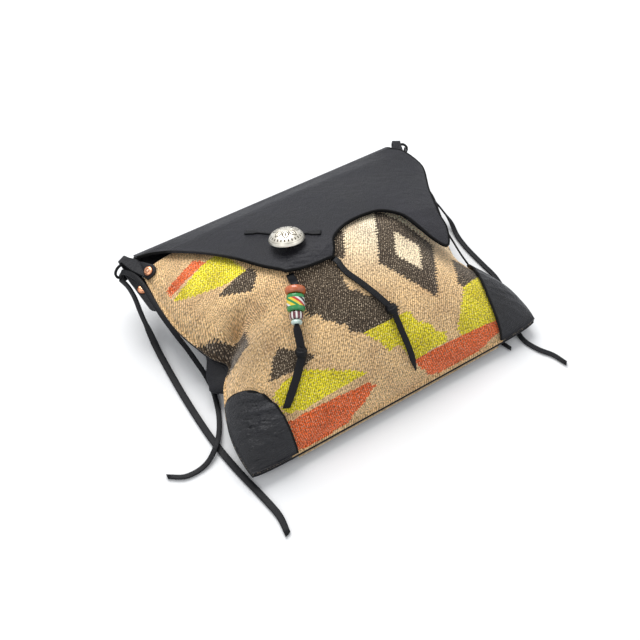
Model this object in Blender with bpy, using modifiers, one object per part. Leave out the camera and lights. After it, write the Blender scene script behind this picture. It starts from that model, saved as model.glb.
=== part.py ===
"""A small stuffed shoulder pouch with a leather flap, lying on its back.

Metres, +Z up. X runs across the pouch, Y from its bottom seam up to the ridge where the flap
folds over. Every shape is first placed in pouch coordinates, whose Y is measured from the
bottom seam, and one empty then moves all of them so that the origin is under the middle.
"""
import bmesh
import bpy
from math import cos, exp, pi, radians, sin
from mathutils import Matrix, Vector

# The filled pouch: its outline on the floor and the heights of its seam
BAG_WIDTH = 0.290            # across the bottom seam
TOP_WIDTH = 0.264            # across the ridge
BAG_DEPTH = 0.219            # bottom seam to ridge, along the floor
BOTTOM_SEAM_HEIGHT = 0.0115
RIDGE_HEIGHT = 0.0475
RIDGE_TILT = 0.045           # the ridge drops this much for each metre towards +X
WAIST_DEPTH = 0.019          # how far the filling pulls each side seam in
WAIST_Y = 0.094
WAIST_SPREAD = 0.038
CORNER_ROUND = 0.004         # how far the bottom corners are rounded off
NOTCH_DEPTH = 0.009          # the fold that pinches the left side seam
NOTCH_Y = 0.092
NOTCH_SPREAD = 0.009
CREASE_DEPTH = 0.007         # the fold that runs in from the notch
CREASE_INNER = (-0.078, 0.110)
CREASE_SPREAD = 0.008
CREASE_FADE = 0.025          # the fold is shallower where the panel bulges less than this
BELLY_DEPTH = 0.034          # how far the back swells out under the pinched left seam
BELLY_Y = 0.088
BELLY_SPREAD = 0.022

# The fullness of the two panels
FRONT_BULGE = 0.062
BACK_BULGE = 0.044
CREST_Y = 0.111              # where the pouch is thickest
FULLNESS = 2.4
ROUNDNESS = 0.6
BACK_ROUNDNESS = 0.9
UPPER_FRONT_POWER = 1.2
UPPER_BACK_POWER = 2.1
SEAM_FLANGE = 0.003          # flat sewn edge round both panels
MOUTH_DROP = 0.019           # the front panel ends this far below the ridge
MOUTH_Y = BAG_DEPTH - MOUTH_DROP
FABRIC_THICKNESS = 0.002
LEATHER_THICKNESS = 0.002
CLEARANCE = 0.0003           # left between pieces that touch
SEAM_GAP = 0.0005             # between the two panels along their seam
SEAM_LIFT = FABRIC_THICKNESS + SEAM_GAP / 2

# Leather corner patches on the front panel
PATCH_WIDTH = 0.042          # kept of the bottom seam
PATCH_HEIGHTS = {-1: 0.058, 1: 0.070}     # kept of the left and the right side seam
PATCH_STRAIGHT = 0.010       # the edge leaves the bottom seam square for this far
PATCH_CURVES = {-1: 2.6, 1: 2.0}
PATCH_TIP_WIDTH = 0.0045     # of the upper end, on the side seam
PATCH_THICKNESS = 0.0012
PATCH_GAP = 0.0013           # between the panel and a patch

# The flap. Its free edge is three smooth stretches, whose points are shares of half the ridge
# width and of the depth of the pouch.
FLAP_OVERHANG = 0.018        # the stiff leather arches over this much more than the ridge
FLAP_HALF_SPAN = TOP_WIDTH / 2 + FLAP_OVERHANG
FLAP_GAP = 0.0018            # between the panel and the flap at the middle
FLAP_BEND_OUT = 0.0030       # how far the fold stands out behind the hinge line
FLAP_BEND_RISE = 0.0045
FLAP_BEND_DROP = 0.0065      # the fold has become the flat of the flap this far below the ridge
FLAP_FLAT_Y = BAG_DEPTH - FLAP_BEND_DROP
FLAP_DIP = 0.0030            # how far the leather sinks between the front panel and the fold
FLAP_LEFT_EDGE = [(-0.99, 0.965), (-0.87, 0.936), (-0.69, 0.822), (-0.545, 0.694),
                  (-0.44, 0.571), (-0.341, 0.489)]
FLAP_TONGUE_EDGE = [(-0.341, 0.489), (-0.205, 0.466), (-0.030, 0.457)]
FLAP_RIGHT_EDGE = [(-0.030, 0.457), (0.008, 0.484), (0.061, 0.534), (0.18, 0.571),
                   (0.32, 0.580), (0.447, 0.566), (0.553, 0.493), (0.629, 0.374),
                   (0.705, 0.333), (0.788, 0.411), (0.811, 0.489), (0.909, 0.626),
                   (1.045, 0.767), (1.076, 0.836), (1.045, 0.927), (0.99, 0.965)]

# The domed metal button on the flap, and the lace that holds it
CONCHO_PLACE = (-0.0277, 0.1322)
CONCHO_DIAMETER = 0.030
CONCHO_HEIGHT = 0.0092
CONCHO_WALL = 0.0012
CONCHO_TILT = 12.0           # degrees, its lower rim off the leather
CONCHO_LEAN = (0.75, 0.66)   # the way its top leans
CONCHO_LACE_ROUTE = [(-0.046, 0.172), (-0.040, 0.166), (-0.0238, 0.1450), (-0.006, 0.132),
                     (0.001, 0.127)]
CONCHO_LACE_WIDTH = 0.0050   # at the slits where it goes through the flap
CONCHO_LACE_WAIST = 0.0022   # twisted between the slits
CONCHO_LACE_THICKNESS = 0.0014
CONCHO_SLIT_SHARE = 0.12      # of the lace's length, flat on the leather at each slit

# Laces, knots and beads. A route over the pouch gives x, y and the lift off the panel.
LACE_RADIUS = 0.0016
LACE_STEP = 0.008            # spacing of the points along a lace
KNOT_CORD_RADIUS = 0.0016
SURFACE_GAP = 0.0005         # what lies on the pouch is this far off it
BEAD_BORE_GAP = 0.0005
STACK_TOP = (-0.0445, 0.0925, 0.0100)
STACK_BOTTOM = (-0.0600, 0.0655, 0.0094)
LACE_LEAD = 0.0025           # straight lace beyond each end of the beads
LEFT_TONGUE_START = [(-0.0425, 0.1020, 0.0024)]
LEFT_TONGUE_END = [(-0.0660, 0.0500, 0.0060), (-0.0720, 0.0430, 0.0040),
                   (-0.0790, 0.0370, 0.0026), (-0.0870, 0.0310, 0.0022),
                   (-0.0945, 0.0258, 0.0022)]
RIGHT_TONGUE = [(-0.0030, 0.0965, 0.0024), (-0.0020, 0.0860, 0.0022), (0.0050, 0.0710, 0.0024),
                (0.0110, 0.0570, 0.0042), (0.0150, 0.0460, 0.0060), (0.0160, 0.0380, 0.0040),
                (0.0165, 0.0290, 0.0024), (0.0170, 0.0190, 0.0022), (0.0170, 0.0090, 0.0022)]
RIGHT_KNOT_AT = 4            # which point of the right route its knot is on

# Each bead: name, finish, radius, length along the lace, how far its ends round off
BEADS = [("disc_bead", "orange_glass", 0.0083, 0.0063, 0.0022),
         ("barrel_bead", "green_glass", 0.0072, 0.0140, 0.0018),
         ("striped_bead", "maroon_glass", 0.0053, 0.0063, 0.0012),
         ("seed_bead", "white_glass", 0.0045, 0.0036, 0.0015)]

# Ridge corners: the leather lugs, their rivets, and the lace rings that hold the side laces
LUG_EYE_OUT = 0.0085         # where each lug folds round its ring, out from the ridge's end
LUG_EYE_DROP = 0.0025
LUG_EYE = (TOP_WIDTH / 2 + LUG_EYE_OUT, BAG_DEPTH - LUG_EYE_DROP)
LUG_WIDTH = 0.0115
LUG_EYE_WIDTH = 0.0070
LUG_GAP = 0.0008             # between a lug and the panel under it
LUG_EYE_LENGTH = 0.006       # the lug widens over this length each way from its eye
LUG_FRONT_LENGTH = 0.0305
LUG_BACK_LENGTH = 0.050
LUG_FRONT_LEAN = 0.65        # how far the front lobe runs inwards for each unit along it
LUG_BACK_LEAN = 0.10
RING_CORD_RADIUS = 0.0011
# The loop of the ring, as steps outwards, along Y and up from the eye of the lug
RING_LOOP = [(-0.0045, 0, 0), (0, 0, 0), (0.0045, 0, 0), (0.0085, -0.0005, -0.0020),
             (0.0110, -0.0015, -0.0060), (0.0100, -0.0025, -0.0105), (0.0055, -0.0030, -0.0125),
             (0, -0.0025, -0.0110), (-0.0050, -0.0012, -0.0070), (-0.0068, -0.0004, -0.0025)]
RING_KNOT_AT = 6             # which point of the loop the knot is on
RIVET_HEAD_RADIUS = 0.0042
RIVET_HEAD_HEIGHT = 0.0014
RIVET_SHANK_RADIUS = 0.0014
RIVET_CLINCH_RADIUS = 0.0021
RIVET_CLINCH_HEIGHT = 0.0008
RIVET_SEAT = 0.0004          # the flat head stands this far off the highest leather under it
RIVET_SLACK = 0.0012         # left under the front panel, which curves away at the rivet
FRONT_RIVET_FROM_EYE = 0.0245
BACK_RIVET_FROM_EYE = 0.0270
BACK_RIVET_OUTWARD = 0.0012  # from the middle line of the back lobe

# The side laces, from the knot on each ring down to the floor: x, y and z
LEFT_LONG_LACE = [(-0.1494, 0.2098, 0.0432), (-0.1465, 0.204, 0.038), (-0.145, 0.197, 0.029),
                  (-0.1455, 0.187, 0.017), (-0.1465, 0.170, 0.008), (-0.148, 0.151, 0.003),
                  (-0.150, 0.111, 0.002), (-0.1505, 0.081, 0.002), (-0.150, 0.055, 0.002),
                  (-0.148, 0.032, 0.002), (-0.145, 0.011, 0.002), (-0.141, -0.011, 0.002),
                  (-0.138, -0.033, 0.002), (-0.140, -0.049, 0.002)]
LEFT_SHORT_LACE = [(-0.1470, 0.2110, 0.0515), (-0.1425, 0.206, 0.0515), (-0.139, 0.200, 0.0505),
                   (-0.1375, 0.193, 0.0499), (-0.137, 0.184, 0.0492), (-0.137, 0.171, 0.0480),
                   (-0.1365, 0.154, 0.0460), (-0.1345, 0.137, 0.041),
                   (-0.131, 0.125, 0.030), (-0.1285, 0.116, 0.018), (-0.1265, 0.106, 0.009),
                   (-0.127, 0.094, 0.003), (-0.133, 0.074, 0.002), (-0.141, 0.058, 0.0035),
                   (-0.150, 0.046, 0.0060), (-0.160, 0.038, 0.0035), (-0.170, 0.034, 0.002),
                   (-0.184, 0.035, 0.002), (-0.196, 0.043, 0.002)]
RIGHT_LONG_LACE = [(0.1494, 0.2098, 0.0307), (0.1465, 0.203, 0.0285), (0.1435, 0.190, 0.0265),
                   (0.142, 0.172, 0.0274), (0.141, 0.157, 0.025), (0.145, 0.147, 0.017),
                   (0.149, 0.136, 0.007), (0.147, 0.122, 0.0025), (0.146, 0.105, 0.002),
                   (0.147, 0.083, 0.002), (0.148, 0.066, 0.002), (0.146, 0.052, 0.002),
                   (0.142, 0.036, 0.002), (0.135, 0.021, 0.002), (0.129, 0.009, 0.002),
                   (0.127, -0.004, 0.002), (0.132, -0.018, 0.002), (0.139, -0.029, 0.002),
                   (0.143, -0.041, 0.002)]
RIGHT_SHORT_LACE = [(0.1470, 0.2110, 0.0390), (0.1425, 0.206, 0.0393), (0.139, 0.200, 0.0388),
                    (0.1378, 0.193, 0.0386), (0.1375, 0.184, 0.0382), (0.1375, 0.171, 0.0372),
                    (0.136, 0.150, 0.0360), (0.130, 0.130, 0.0340),
                    (0.1258, 0.114, 0.0310), (0.1246, 0.102, 0.0290), (0.1248, 0.090, 0.0240),
                    (0.129, 0.078, 0.013), (0.132, 0.066, 0.004), (0.132, 0.050, 0.002),
                    (0.129, 0.035, 0.002), (0.121, 0.022, 0.002), (0.113, 0.013, 0.002),
                    (0.1095, 0.005, 0.002), (0.112, -0.004, 0.002)]

# The flap, the button and the tongue laces turn about the hinge line along the ridge
HINGE_OUT = 0.0015           # behind the ridge
HINGE_Y = BAG_DEPTH + HINGE_OUT
HINGE_DROP = 0.0040          # below the height of the ridge
HINGE_GAP = 0.0003
CENTRE_SHIFT = 0.0004        # the fold of the flap makes the pouch longer at its ridge
CENTRE_Y = BAG_DEPTH / 2 + CENTRE_SHIFT

COLOURS = {
    "wool": ((0.604, 0.402, 0.223, 1), 0.9, 0.0),
    "leather": ((0.022, 0.023, 0.027, 1), 0.5, 0.0),
    "lace_leather": ((0.010, 0.010, 0.012, 1), 0.55, 0.0),
    "silver": ((0.80, 0.78, 0.72, 1), 0.25, 1.0),
    "copper": ((0.80, 0.36, 0.20, 1), 0.3, 1.0),
    "orange_glass": ((0.50, 0.11, 0.02, 1), 0.2, 0.0),
    "green_glass": ((0.02, 0.28, 0.05, 1), 0.15, 0.0),
    "maroon_glass": ((0.16, 0.02, 0.03, 1), 0.2, 0.0),
    "white_glass": ((0.55, 0.75, 0.68, 1), 0.2, 0.0),
}

# Fineness of the shapes
PANEL_COLUMNS = 24
PANEL_ROWS = 20
EDGE_CROWDING = 1.6          # how much the panel's rows and columns close up towards its seam
PATCH_COLUMNS = 9
PATCH_ROWS = 12
FLAP_COLUMNS = 44
FLAP_ROWS = 13
FLAP_BEND_ROWS = 4
FLAP_EDGE_STEP = 0.002
LUG_ROWS = 24
TURN_STEPS = 20
CORD_STEPS = 2


def clear_scene():
    for obj in list(bpy.data.objects):
        bpy.data.objects.remove(obj, do_unlink=True)


def material(name):
    """The Principled material of that name, made once."""
    found = bpy.data.materials.get(name)
    if found:
        return found
    colour, roughness, metallic = COLOURS[name]
    made = bpy.data.materials.new(name)
    made.use_nodes = True
    shader = made.node_tree.nodes["Principled BSDF"]
    shader.inputs["Base Color"].default_value = colour
    shader.inputs["Roughness"].default_value = roughness
    shader.inputs["Metallic"].default_value = metallic
    made.diffuse_color = colour
    return made


def share(value, low, high):
    """How far value has gone from low to high, kept between 0 and 1."""
    return min(1.0, max(0.0, (value - low) / (high - low)))


# The form of the filled pouch, as heights over the floor

def seam_height(x, y):
    """Height of the sewn edge, and of the plane through it inside the pouch."""
    along = y / BAG_DEPTH
    return BOTTOM_SEAM_HEIGHT + (RIDGE_HEIGHT - BOTTOM_SEAM_HEIGHT - RIDGE_TILT * x) * along


def half_width(y, side):
    """Half the width of the pouch at y. A negative side is the left one."""
    taper = (BAG_WIDTH - TOP_WIDTH) / 2 * y / BAG_DEPTH
    waist = WAIST_DEPTH * exp(-((y - WAIST_Y) / WAIST_SPREAD) ** 2)
    notch = NOTCH_DEPTH * exp(-((y - NOTCH_Y) / NOTCH_SPREAD) ** 2) if side < 0 else 0.0
    return BAG_WIDTH / 2 - taper - waist - notch


def crosswise(x, y, roundness=ROUNDNESS, flange=SEAM_FLANGE):
    """1 on the middle line of the pouch, falling to 0 at its side seams."""
    out = share(abs(x), 0.0, half_width(y, x) - flange)
    return (1 - out ** FULLNESS) ** roundness


def lengthwise(y, upper_power, roundness=ROUNDNESS, flange=SEAM_FLANGE):
    """1 at the crest, falling to 0 at the bottom seam and near the ridge."""
    if y < CREST_Y:
        return (1 - (1 - share(y, flange, CREST_Y)) ** FULLNESS) ** roundness
    return 1 - share(y, CREST_Y, BAG_DEPTH + SEAM_FLANGE) ** upper_power


def crease(x, y):
    """Depth of the fold that runs in from the notch in the left side seam."""
    outer = Vector((-half_width(NOTCH_Y, -1), NOTCH_Y))
    run = Vector(CREASE_INNER) - outer
    along = (Vector((x, y)) - outer).dot(run) / run.length_squared
    off = (Vector((x, y)) - outer - run * along).length
    if not 0 < along < 1:
        return 0.0
    return CREASE_DEPTH * sin(pi * along) * exp(-(off / CREASE_SPREAD) ** 2)


def front_height(x, y):
    """Outer face of the woven front panel."""
    full = FRONT_BULGE * lengthwise(y, UPPER_FRONT_POWER) * crosswise(x, y)
    fold = crease(x, y) * share(full, 0, CREASE_FADE)
    return seam_height(x, y) + SEAM_LIFT + full - fold


def patch_height(x, y):
    """Inner face of a corner patch, just outside the front panel."""
    flange = SEAM_FLANGE - PATCH_GAP
    full = FRONT_BULGE * lengthwise(y, UPPER_FRONT_POWER, ROUNDNESS, flange)
    full *= crosswise(x, y, ROUNDNESS, flange)
    return seam_height(x, y) + SEAM_LIFT + PATCH_GAP + full


def back_height(x, y):
    """Outer face of the leather back, flat where it lies on the floor."""
    full = lengthwise(y, UPPER_BACK_POWER, BACK_ROUNDNESS) * crosswise(x, y, BACK_ROUNDNESS)
    return max(0.0, seam_height(x, y) - SEAM_LIFT - BACK_BULGE * full)


def belly(x, y, z):
    """How far the back stands out at height z, below the fold in the left side seam."""
    if x > 0:
        return 0.0
    rise = share(z, 0.0, seam_height(x, y) - SEAM_LIFT)
    return BELLY_DEPTH * exp(-((y - BELLY_Y) / BELLY_SPREAD) ** 2) * sin(pi * rise)


def flap_height(x, y):
    """Middle of the flap's leather, which arches over the front panel."""
    out = share(abs(x), 0.0, FLAP_HALF_SPAN)
    arch = (1 - out ** FULLNESS) ** ROUNDNESS
    lift = SEAM_LIFT + FLAP_GAP + LEATHER_THICKNESS / 2
    full = FRONT_BULGE * lengthwise(y, UPPER_FRONT_POWER)
    return seam_height(x, y) + lift + (full - FLAP_DIP * share(y, MOUTH_Y, FLAP_FLAT_Y)) * arch


def normal_of(height, x, y, step=0.001):
    """Unit normal, pointing up, of the surface that height describes."""
    along_x = Vector((2 * step, 0, height(x + step, y) - height(x - step, y)))
    along_y = Vector((0, 2 * step, height(x, y + step) - height(x, y - step)))
    return along_x.cross(along_y).normalized()


def on_surface(height, x, y, lift):
    """The point that stands off a surface by lift, along its normal."""
    return Vector((x, y, height(x, y))) + normal_of(height, x, y) * lift


# Helpers that make the objects

def add_to_scene(name, data, finish, group):
    obj = bpy.data.objects.new(name, data)
    data.materials.append(material(finish))
    group.objects.link(obj)
    return obj


def sheet(name, finish, group, columns, rows, place, thickness, offset=-1.0, face_down=False):
    """A grid bent by place(u, v), with u from -1 to 1 and v from 0 to 1, given a thickness."""
    mesh = bpy.data.meshes.new(name)
    bm = bmesh.new()
    bmesh.ops.create_grid(bm, x_segments=columns, y_segments=rows, size=0.5)
    for vert in bm.verts:
        vert.co = place(2 * vert.co.x, vert.co.y + 0.5)
    if face_down:
        bmesh.ops.reverse_faces(bm, faces=bm.faces)
    bm.to_mesh(mesh)
    bm.free()
    mesh.shade_smooth()
    obj = add_to_scene(name, mesh, finish, group)
    wall = obj.modifiers.new("wall", "SOLIDIFY")
    wall.thickness = thickness
    wall.offset = offset
    return obj


def turned(name, finish, group, profile, matrix):
    """A profile of (radius, height) pairs turned round its own Z axis, then placed."""
    mesh = bpy.data.meshes.new(name)
    edges = [(i, i + 1) for i in range(len(profile) - 1)]
    if profile[0][0] > 0:
        edges.append((len(profile) - 1, 0))
    mesh.from_pydata([(r, 0, z) for r, z in profile], edges, [])
    obj = add_to_scene(name, mesh, finish, group)
    obj.matrix_world = matrix
    screw = obj.modifiers.new("turn", "SCREW")
    screw.steps = screw.render_steps = TURN_STEPS
    screw.use_merge_vertices = True
    screw.merge_threshold = 0.00001
    screw.use_smooth_shade = True
    return obj


def smooth_route(points, step, closed=False):
    """Points about a step apart along a smooth curve through the given ones."""
    if closed:
        ends = [points[-1]] + points + points[:2]
    else:
        ends = [points[0] * 2 - points[1]] + points + [points[-1] * 2 - points[-2]]
    route = []
    for before, start, end, after in zip(ends, ends[1:], ends[2:], ends[3:]):
        count = max(1, round((end - start).length / step))
        for i in range(count):
            t = i / count
            route.append(0.5 * (2 * start + (end - before) * t
                                + (2 * before - 5 * start + 4 * end - after) * t ** 2
                                + (3 * start - before - 3 * end + after) * t ** 3))
    return route if closed else route + [points[-1]]


def tube(name, finish, group, points, radius, closed=False):
    """A round cord through the points."""
    curve = bpy.data.curves.new(name, "CURVE")
    curve.dimensions = "3D"
    curve.bevel_depth = radius
    curve.bevel_resolution = CORD_STEPS
    curve.use_fill_caps = not closed
    spline = curve.splines.new("POLY")
    spline.points.add(len(points) - 1)
    for target, point in zip(spline.points, points):
        target.co = (*point, 1.0)
    spline.use_cyclic_u = closed
    return add_to_scene(name, curve, finish, group)


def knot(name, group, centre, direction, cord_radius):
    """One turn of lace pulled tight round a cord."""
    turn_radius = cord_radius + SURFACE_GAP + KNOT_CORD_RADIUS
    turn = direction.to_track_quat("Z", "Y")
    points = [centre + turn @ Vector((turn_radius * cos(a), turn_radius * sin(a), 0))
              for a in (2 * pi * i / 14 for i in range(14))]
    return tube(name, "lace_leather", group, points, KNOT_CORD_RADIUS, closed=True)


def facing(centre, direction):
    """A matrix whose Z axis points along direction, with its origin at centre."""
    return Matrix.Translation(centre) @ direction.to_track_quat("Z", "Y").to_matrix().to_4x4()


def cut(target, cutters, matrix, top, bottom):
    """Take a rivet hole out of a solid, from top down to bottom on the rivet's axis."""
    cutter_mesh = bpy.data.meshes.new("rivet_hole")
    bm = bmesh.new()
    radius = RIVET_SHANK_RADIUS + CLEARANCE
    bmesh.ops.create_cone(bm, cap_ends=True, segments=16, radius1=radius, radius2=radius,
                          depth=top - bottom)
    bm.to_mesh(cutter_mesh)
    bm.free()
    cutter = bpy.data.objects.new("rivet_hole", cutter_mesh)
    cutters.objects.link(cutter)
    cutter.matrix_world = matrix @ Matrix.Translation((0, 0, (top + bottom) / 2))
    cutter.hide_render = True
    cutter.display_type = "WIRE"
    hole = target.modifiers.new("rivet_hole", "BOOLEAN")
    hole.operation = "DIFFERENCE"
    hole.solver = "EXACT"
    hole.object = cutter


# The two panels and the corner patches

def from_edge(place, cells, length, flange=SEAM_FLANGE):
    """Distance in from a sewn edge: one cell for the flat seam, then cells that grow."""
    if place * cells <= 1:
        return flange * place * cells
    inner = (place * cells - 1) / (cells - 1)
    return flange + (length - flange) * inner ** EDGE_CROWDING


def round_corner(x, y):
    """Move a place on a panel inwards where it lies at a bottom corner."""
    half = half_width(y, x)
    pull = CORNER_ROUND * min(1.0, abs(x) / half) ** 10 * max(0.0, 1 - y / BAG_DEPTH) ** 12
    return x - (pull if x > 0 else -pull), y + pull * 0.7


def rounded(x, y, height):
    """The point of a panel for a place on the pouch, with its bottom corners rounded."""
    flat_x, flat_y = round_corner(x, y)
    return Vector((flat_x, flat_y,
                   height(x, y) + seam_height(flat_x, flat_y) - seam_height(x, y)))


def panel_point(u, v, top_y, height):
    y = from_edge(v, PANEL_ROWS, top_y)
    half = half_width(y, u)
    x = half - from_edge(1 - abs(u), PANEL_COLUMNS / 2, half)
    return rounded(x if u > 0 else -x, y, height)


def front_panel(group):
    def place(u, v):
        return panel_point(u, v, MOUTH_Y, front_height)
    return sheet("front_panel", "wool", group, PANEL_COLUMNS, PANEL_ROWS, place,
                 FABRIC_THICKNESS)


def back_panel(group):
    def place(u, v):
        point = panel_point(u, v, BAG_DEPTH, back_height)
        point.x -= belly(*point)
        return point
    return sheet("back_panel", "leather", group, PANEL_COLUMNS, PANEL_ROWS, place,
                 LEATHER_THICKNESS, face_down=True)


def patch_width(y, side):
    """How far a corner patch reaches in from the side seam at y."""
    height = PATCH_HEIGHTS[side]
    rise = share(y, PATCH_STRAIGHT, height) ** PATCH_CURVES[side]
    inner = BAG_WIDTH / 2 - PATCH_WIDTH
    edge = inner + (half_width(height, side) - PATCH_TIP_WIDTH - inner) * rise
    return half_width(y, side) - edge


def corner_patch(name, side, group):
    """A leather patch sewn over a bottom corner of the front panel."""
    def place(u, v):
        y = from_edge(v, PATCH_ROWS, PATCH_HEIGHTS[side], SEAM_FLANGE - PATCH_GAP)
        half = half_width(y, side)
        inwards = from_edge((1 - side * u) / 2, PATCH_COLUMNS, patch_width(y, side),
                            SEAM_FLANGE - PATCH_GAP)
        x = side * (half - inwards)
        return rounded(x, y, patch_height)
    return sheet(name, "leather", group, PATCH_COLUMNS, PATCH_ROWS, place, PATCH_THICKNESS,
                 offset=1.0)


# The flap

def hinge_point(x):
    """A point of the line along the ridge on which the flap turns."""
    return Vector((x, HINGE_Y, seam_height(x, BAG_DEPTH) - HINGE_DROP))


def flap_edge():
    """The free edge of the flap from its left end to its right end."""
    edge = []
    for stretch in (FLAP_LEFT_EDGE, FLAP_TONGUE_EDGE, FLAP_RIGHT_EDGE):
        places = [Vector((u * TOP_WIDTH / 2, v * BAG_DEPTH)) for u, v in stretch]
        edge += smooth_route(places, FLAP_EDGE_STEP)[:-1]
    return edge + [places[-1]]


def flap(group):
    edge = flap_edge()
    left, right = edge[0].x, edge[-1].x

    def place(u, v):
        along = (u + 1) / 2 * (len(edge) - 1)
        first = min(int(along), len(edge) - 2)
        free = edge[first].lerp(edge[first + 1], along - first)
        x = left + (right - left) * (u + 1) / 2
        row = v * FLAP_ROWS
        if row <= FLAP_BEND_ROWS:
            t = row / FLAP_BEND_ROWS
            start = hinge_point(x)
            start.z += LEATHER_THICKNESS / 2 + HINGE_GAP
            end = Vector((x, FLAP_FLAT_Y, flap_height(x, FLAP_FLAT_Y)))
            out = start + Vector((0, FLAP_BEND_OUT, FLAP_BEND_RISE))
            return start.lerp(out, t).lerp(out.lerp(end, t), t)
        t = (row - FLAP_BEND_ROWS) / (FLAP_ROWS - FLAP_BEND_ROWS)
        spot = Vector((x, FLAP_FLAT_Y)).lerp(free, t)
        return Vector((*spot, flap_height(*spot)))
    return sheet("flap", "leather", group, FLAP_COLUMNS, FLAP_ROWS, place, LEATHER_THICKNESS,
                 offset=0.0, face_down=True)


def concho(group):
    """The domed silver button, a stamped shell that sits on its lace."""
    outer, height, wall = CONCHO_DIAMETER / 2, CONCHO_HEIGHT, CONCHO_WALL
    arc = [radians(a) for a in (90, 75, 60, 45, 30, 14)]
    dome = [(outer * cos(a) if a < pi / 2 else 0, height * sin(a)) for a in arc]
    dome[0] = (0, height)
    inside = [((outer - wall) * cos(a) if a < pi / 2 else 0, (height - wall) * sin(a))
              for a in reversed(arc)]
    inside[-1] = (0, height - wall)
    profile = dome + [(outer, 0.0008), (outer, 0), (outer - wall, 0)] + inside
    x, y = CONCHO_PLACE
    tilt = radians(CONCHO_TILT)
    lift = (LEATHER_THICKNESS / 2 + SURFACE_GAP + CONCHO_LACE_THICKNESS + CLEARANCE
            + outer * sin(tilt))
    normal = normal_of(flap_height, x, y)
    across = Vector((-CONCHO_LEAN[1], CONCHO_LEAN[0], 0))
    tilted = Matrix.Rotation(tilt, 3, across) @ normal
    return turned("concho", "silver", group, profile,
                  facing(on_surface(flap_height, x, y, lift), tilted))


def concho_lace(group):
    """The lace that crosses the flap from slit to slit, under the button."""
    route = smooth_route([Vector(p) for p in CONCHO_LACE_ROUTE], LACE_STEP / 2)

    def place(u, v):
        along = v * (len(route) - 1)
        first = min(int(along), len(route) - 2)
        spot = route[first].lerp(route[first + 1], along - first)
        across = (route[first + 1] - route[first]).normalized().orthogonal()
        end = min(v, 1 - v)
        width = CONCHO_LACE_WIDTH if end < CONCHO_SLIT_SHARE else CONCHO_LACE_WAIST
        spot = spot + across * (u * width / 2)
        lift = (LEATHER_THICKNESS + CONCHO_LACE_THICKNESS) / 2 + CLEARANCE
        return on_surface(flap_height, *spot, lift)
    return sheet("concho_lace", "lace_leather", group, 2, len(route) - 1, place,
                 CONCHO_LACE_THICKNESS, offset=0.0)


# The tongue laces with their beads and knots

def bead(name, finish, group, start, direction, radius, length, ease):
    """A bead threaded on its lace, with its upper end at start."""
    bore = LACE_RADIUS + BEAD_BORE_GAP
    top = [(radius - ease + ease * sin(a), length - ease * (1 - cos(a)))
           for a in (0, pi / 4, pi / 2)]
    bottom = [(r, length - z) for r, z in reversed(top)]
    profile = [(bore, length)] + top + bottom + [(bore, 0.0)]
    return turned(name, finish, group, profile, facing(start + direction * length, -direction))


def tongue_laces(group):
    """Both laces that hang from the tongue of the flap, the left one with its beads."""
    top = on_surface(front_height, *STACK_TOP)
    bottom = on_surface(front_height, *STACK_BOTTOM)
    down = (bottom - top).normalized()
    made = []
    start = top
    for name, finish, radius, length, ease in BEADS:
        made.append(bead(name, finish, group, start, down, radius, length, ease))
        start = start + down * (length + CLEARANCE)
    straight = [top - down * LACE_LEAD, top, top.lerp(start, 0.5), start,
                start + down * LACE_LEAD]
    left = ([on_surface(front_height, *p) for p in LEFT_TONGUE_START] + straight
            + [on_surface(front_height, *p) for p in LEFT_TONGUE_END])
    right = [on_surface(front_height, *p) for p in RIGHT_TONGUE]
    made.append(tube("tongue_lace_left", "lace_leather", group,
                     smooth_route(left, LACE_STEP), LACE_RADIUS))
    made.append(tube("tongue_lace_right", "lace_leather", group,
                     smooth_route(right, LACE_STEP), LACE_RADIUS))
    left_at = len(straight) + len(LEFT_TONGUE_START)
    for name, route, at in (("tongue_knot_left", left, left_at),
                            ("tongue_knot_right", right, RIGHT_KNOT_AT)):
        made.append(knot(name, group, route[at], route[at + 1] - route[at - 1], LACE_RADIUS))
    return made


# The ridge corners

class Corner:
    """The places of one ridge corner: its eye, the run of its two lobes and their width."""

    def __init__(self, side):
        self.side = side
        self.eye = Vector((side * LUG_EYE[0], LUG_EYE[1]))
        self.front = Vector((-side * LUG_FRONT_LEAN, -1)).normalized()
        self.back = Vector((-side * LUG_BACK_LEAN, -1)).normalized()
        self.fold = SEAM_LIFT + LUG_GAP + LEATHER_THICKNESS / 2
        self.height = seam_height(*self.eye)

    def across(self, run):
        """The way a lobe's width points, towards +X, for a run along it."""
        return Vector((-run.y, run.x))

    def front_rivet(self):
        spot = self.eye + self.front * FRONT_RIVET_FROM_EYE
        return facing(on_surface(front_height, *spot, LUG_GAP + LEATHER_THICKNESS),
                      normal_of(front_height, *spot))

    def back_rivet(self):
        spot = self.eye + self.back * BACK_RIVET_FROM_EYE
        spot = spot + self.across(self.back) * self.side * BACK_RIVET_OUTWARD
        return facing(on_surface(back_height, *spot, -LUG_GAP),
                      normal_of(back_height, *spot))

    def ring_points(self):
        """The loop of the lace ring, through the eye of the lug."""
        eye = Vector((*self.eye, self.height))
        return [eye + Vector((self.side * out, along, up)) for out, along, up in RING_LOOP]


def lug_width(from_eye, from_end):
    """Width of a lobe, narrow at the eye and rounded at its end."""
    narrow = (LUG_WIDTH - LUG_EYE_WIDTH) * exp(-(from_eye / LUG_EYE_LENGTH) ** 2)
    rounding = 1 - share(from_end, 0, LUG_WIDTH / 2)
    return (LUG_WIDTH - narrow) * max(0.35, (1 - rounding ** 2) ** 0.5)


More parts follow.
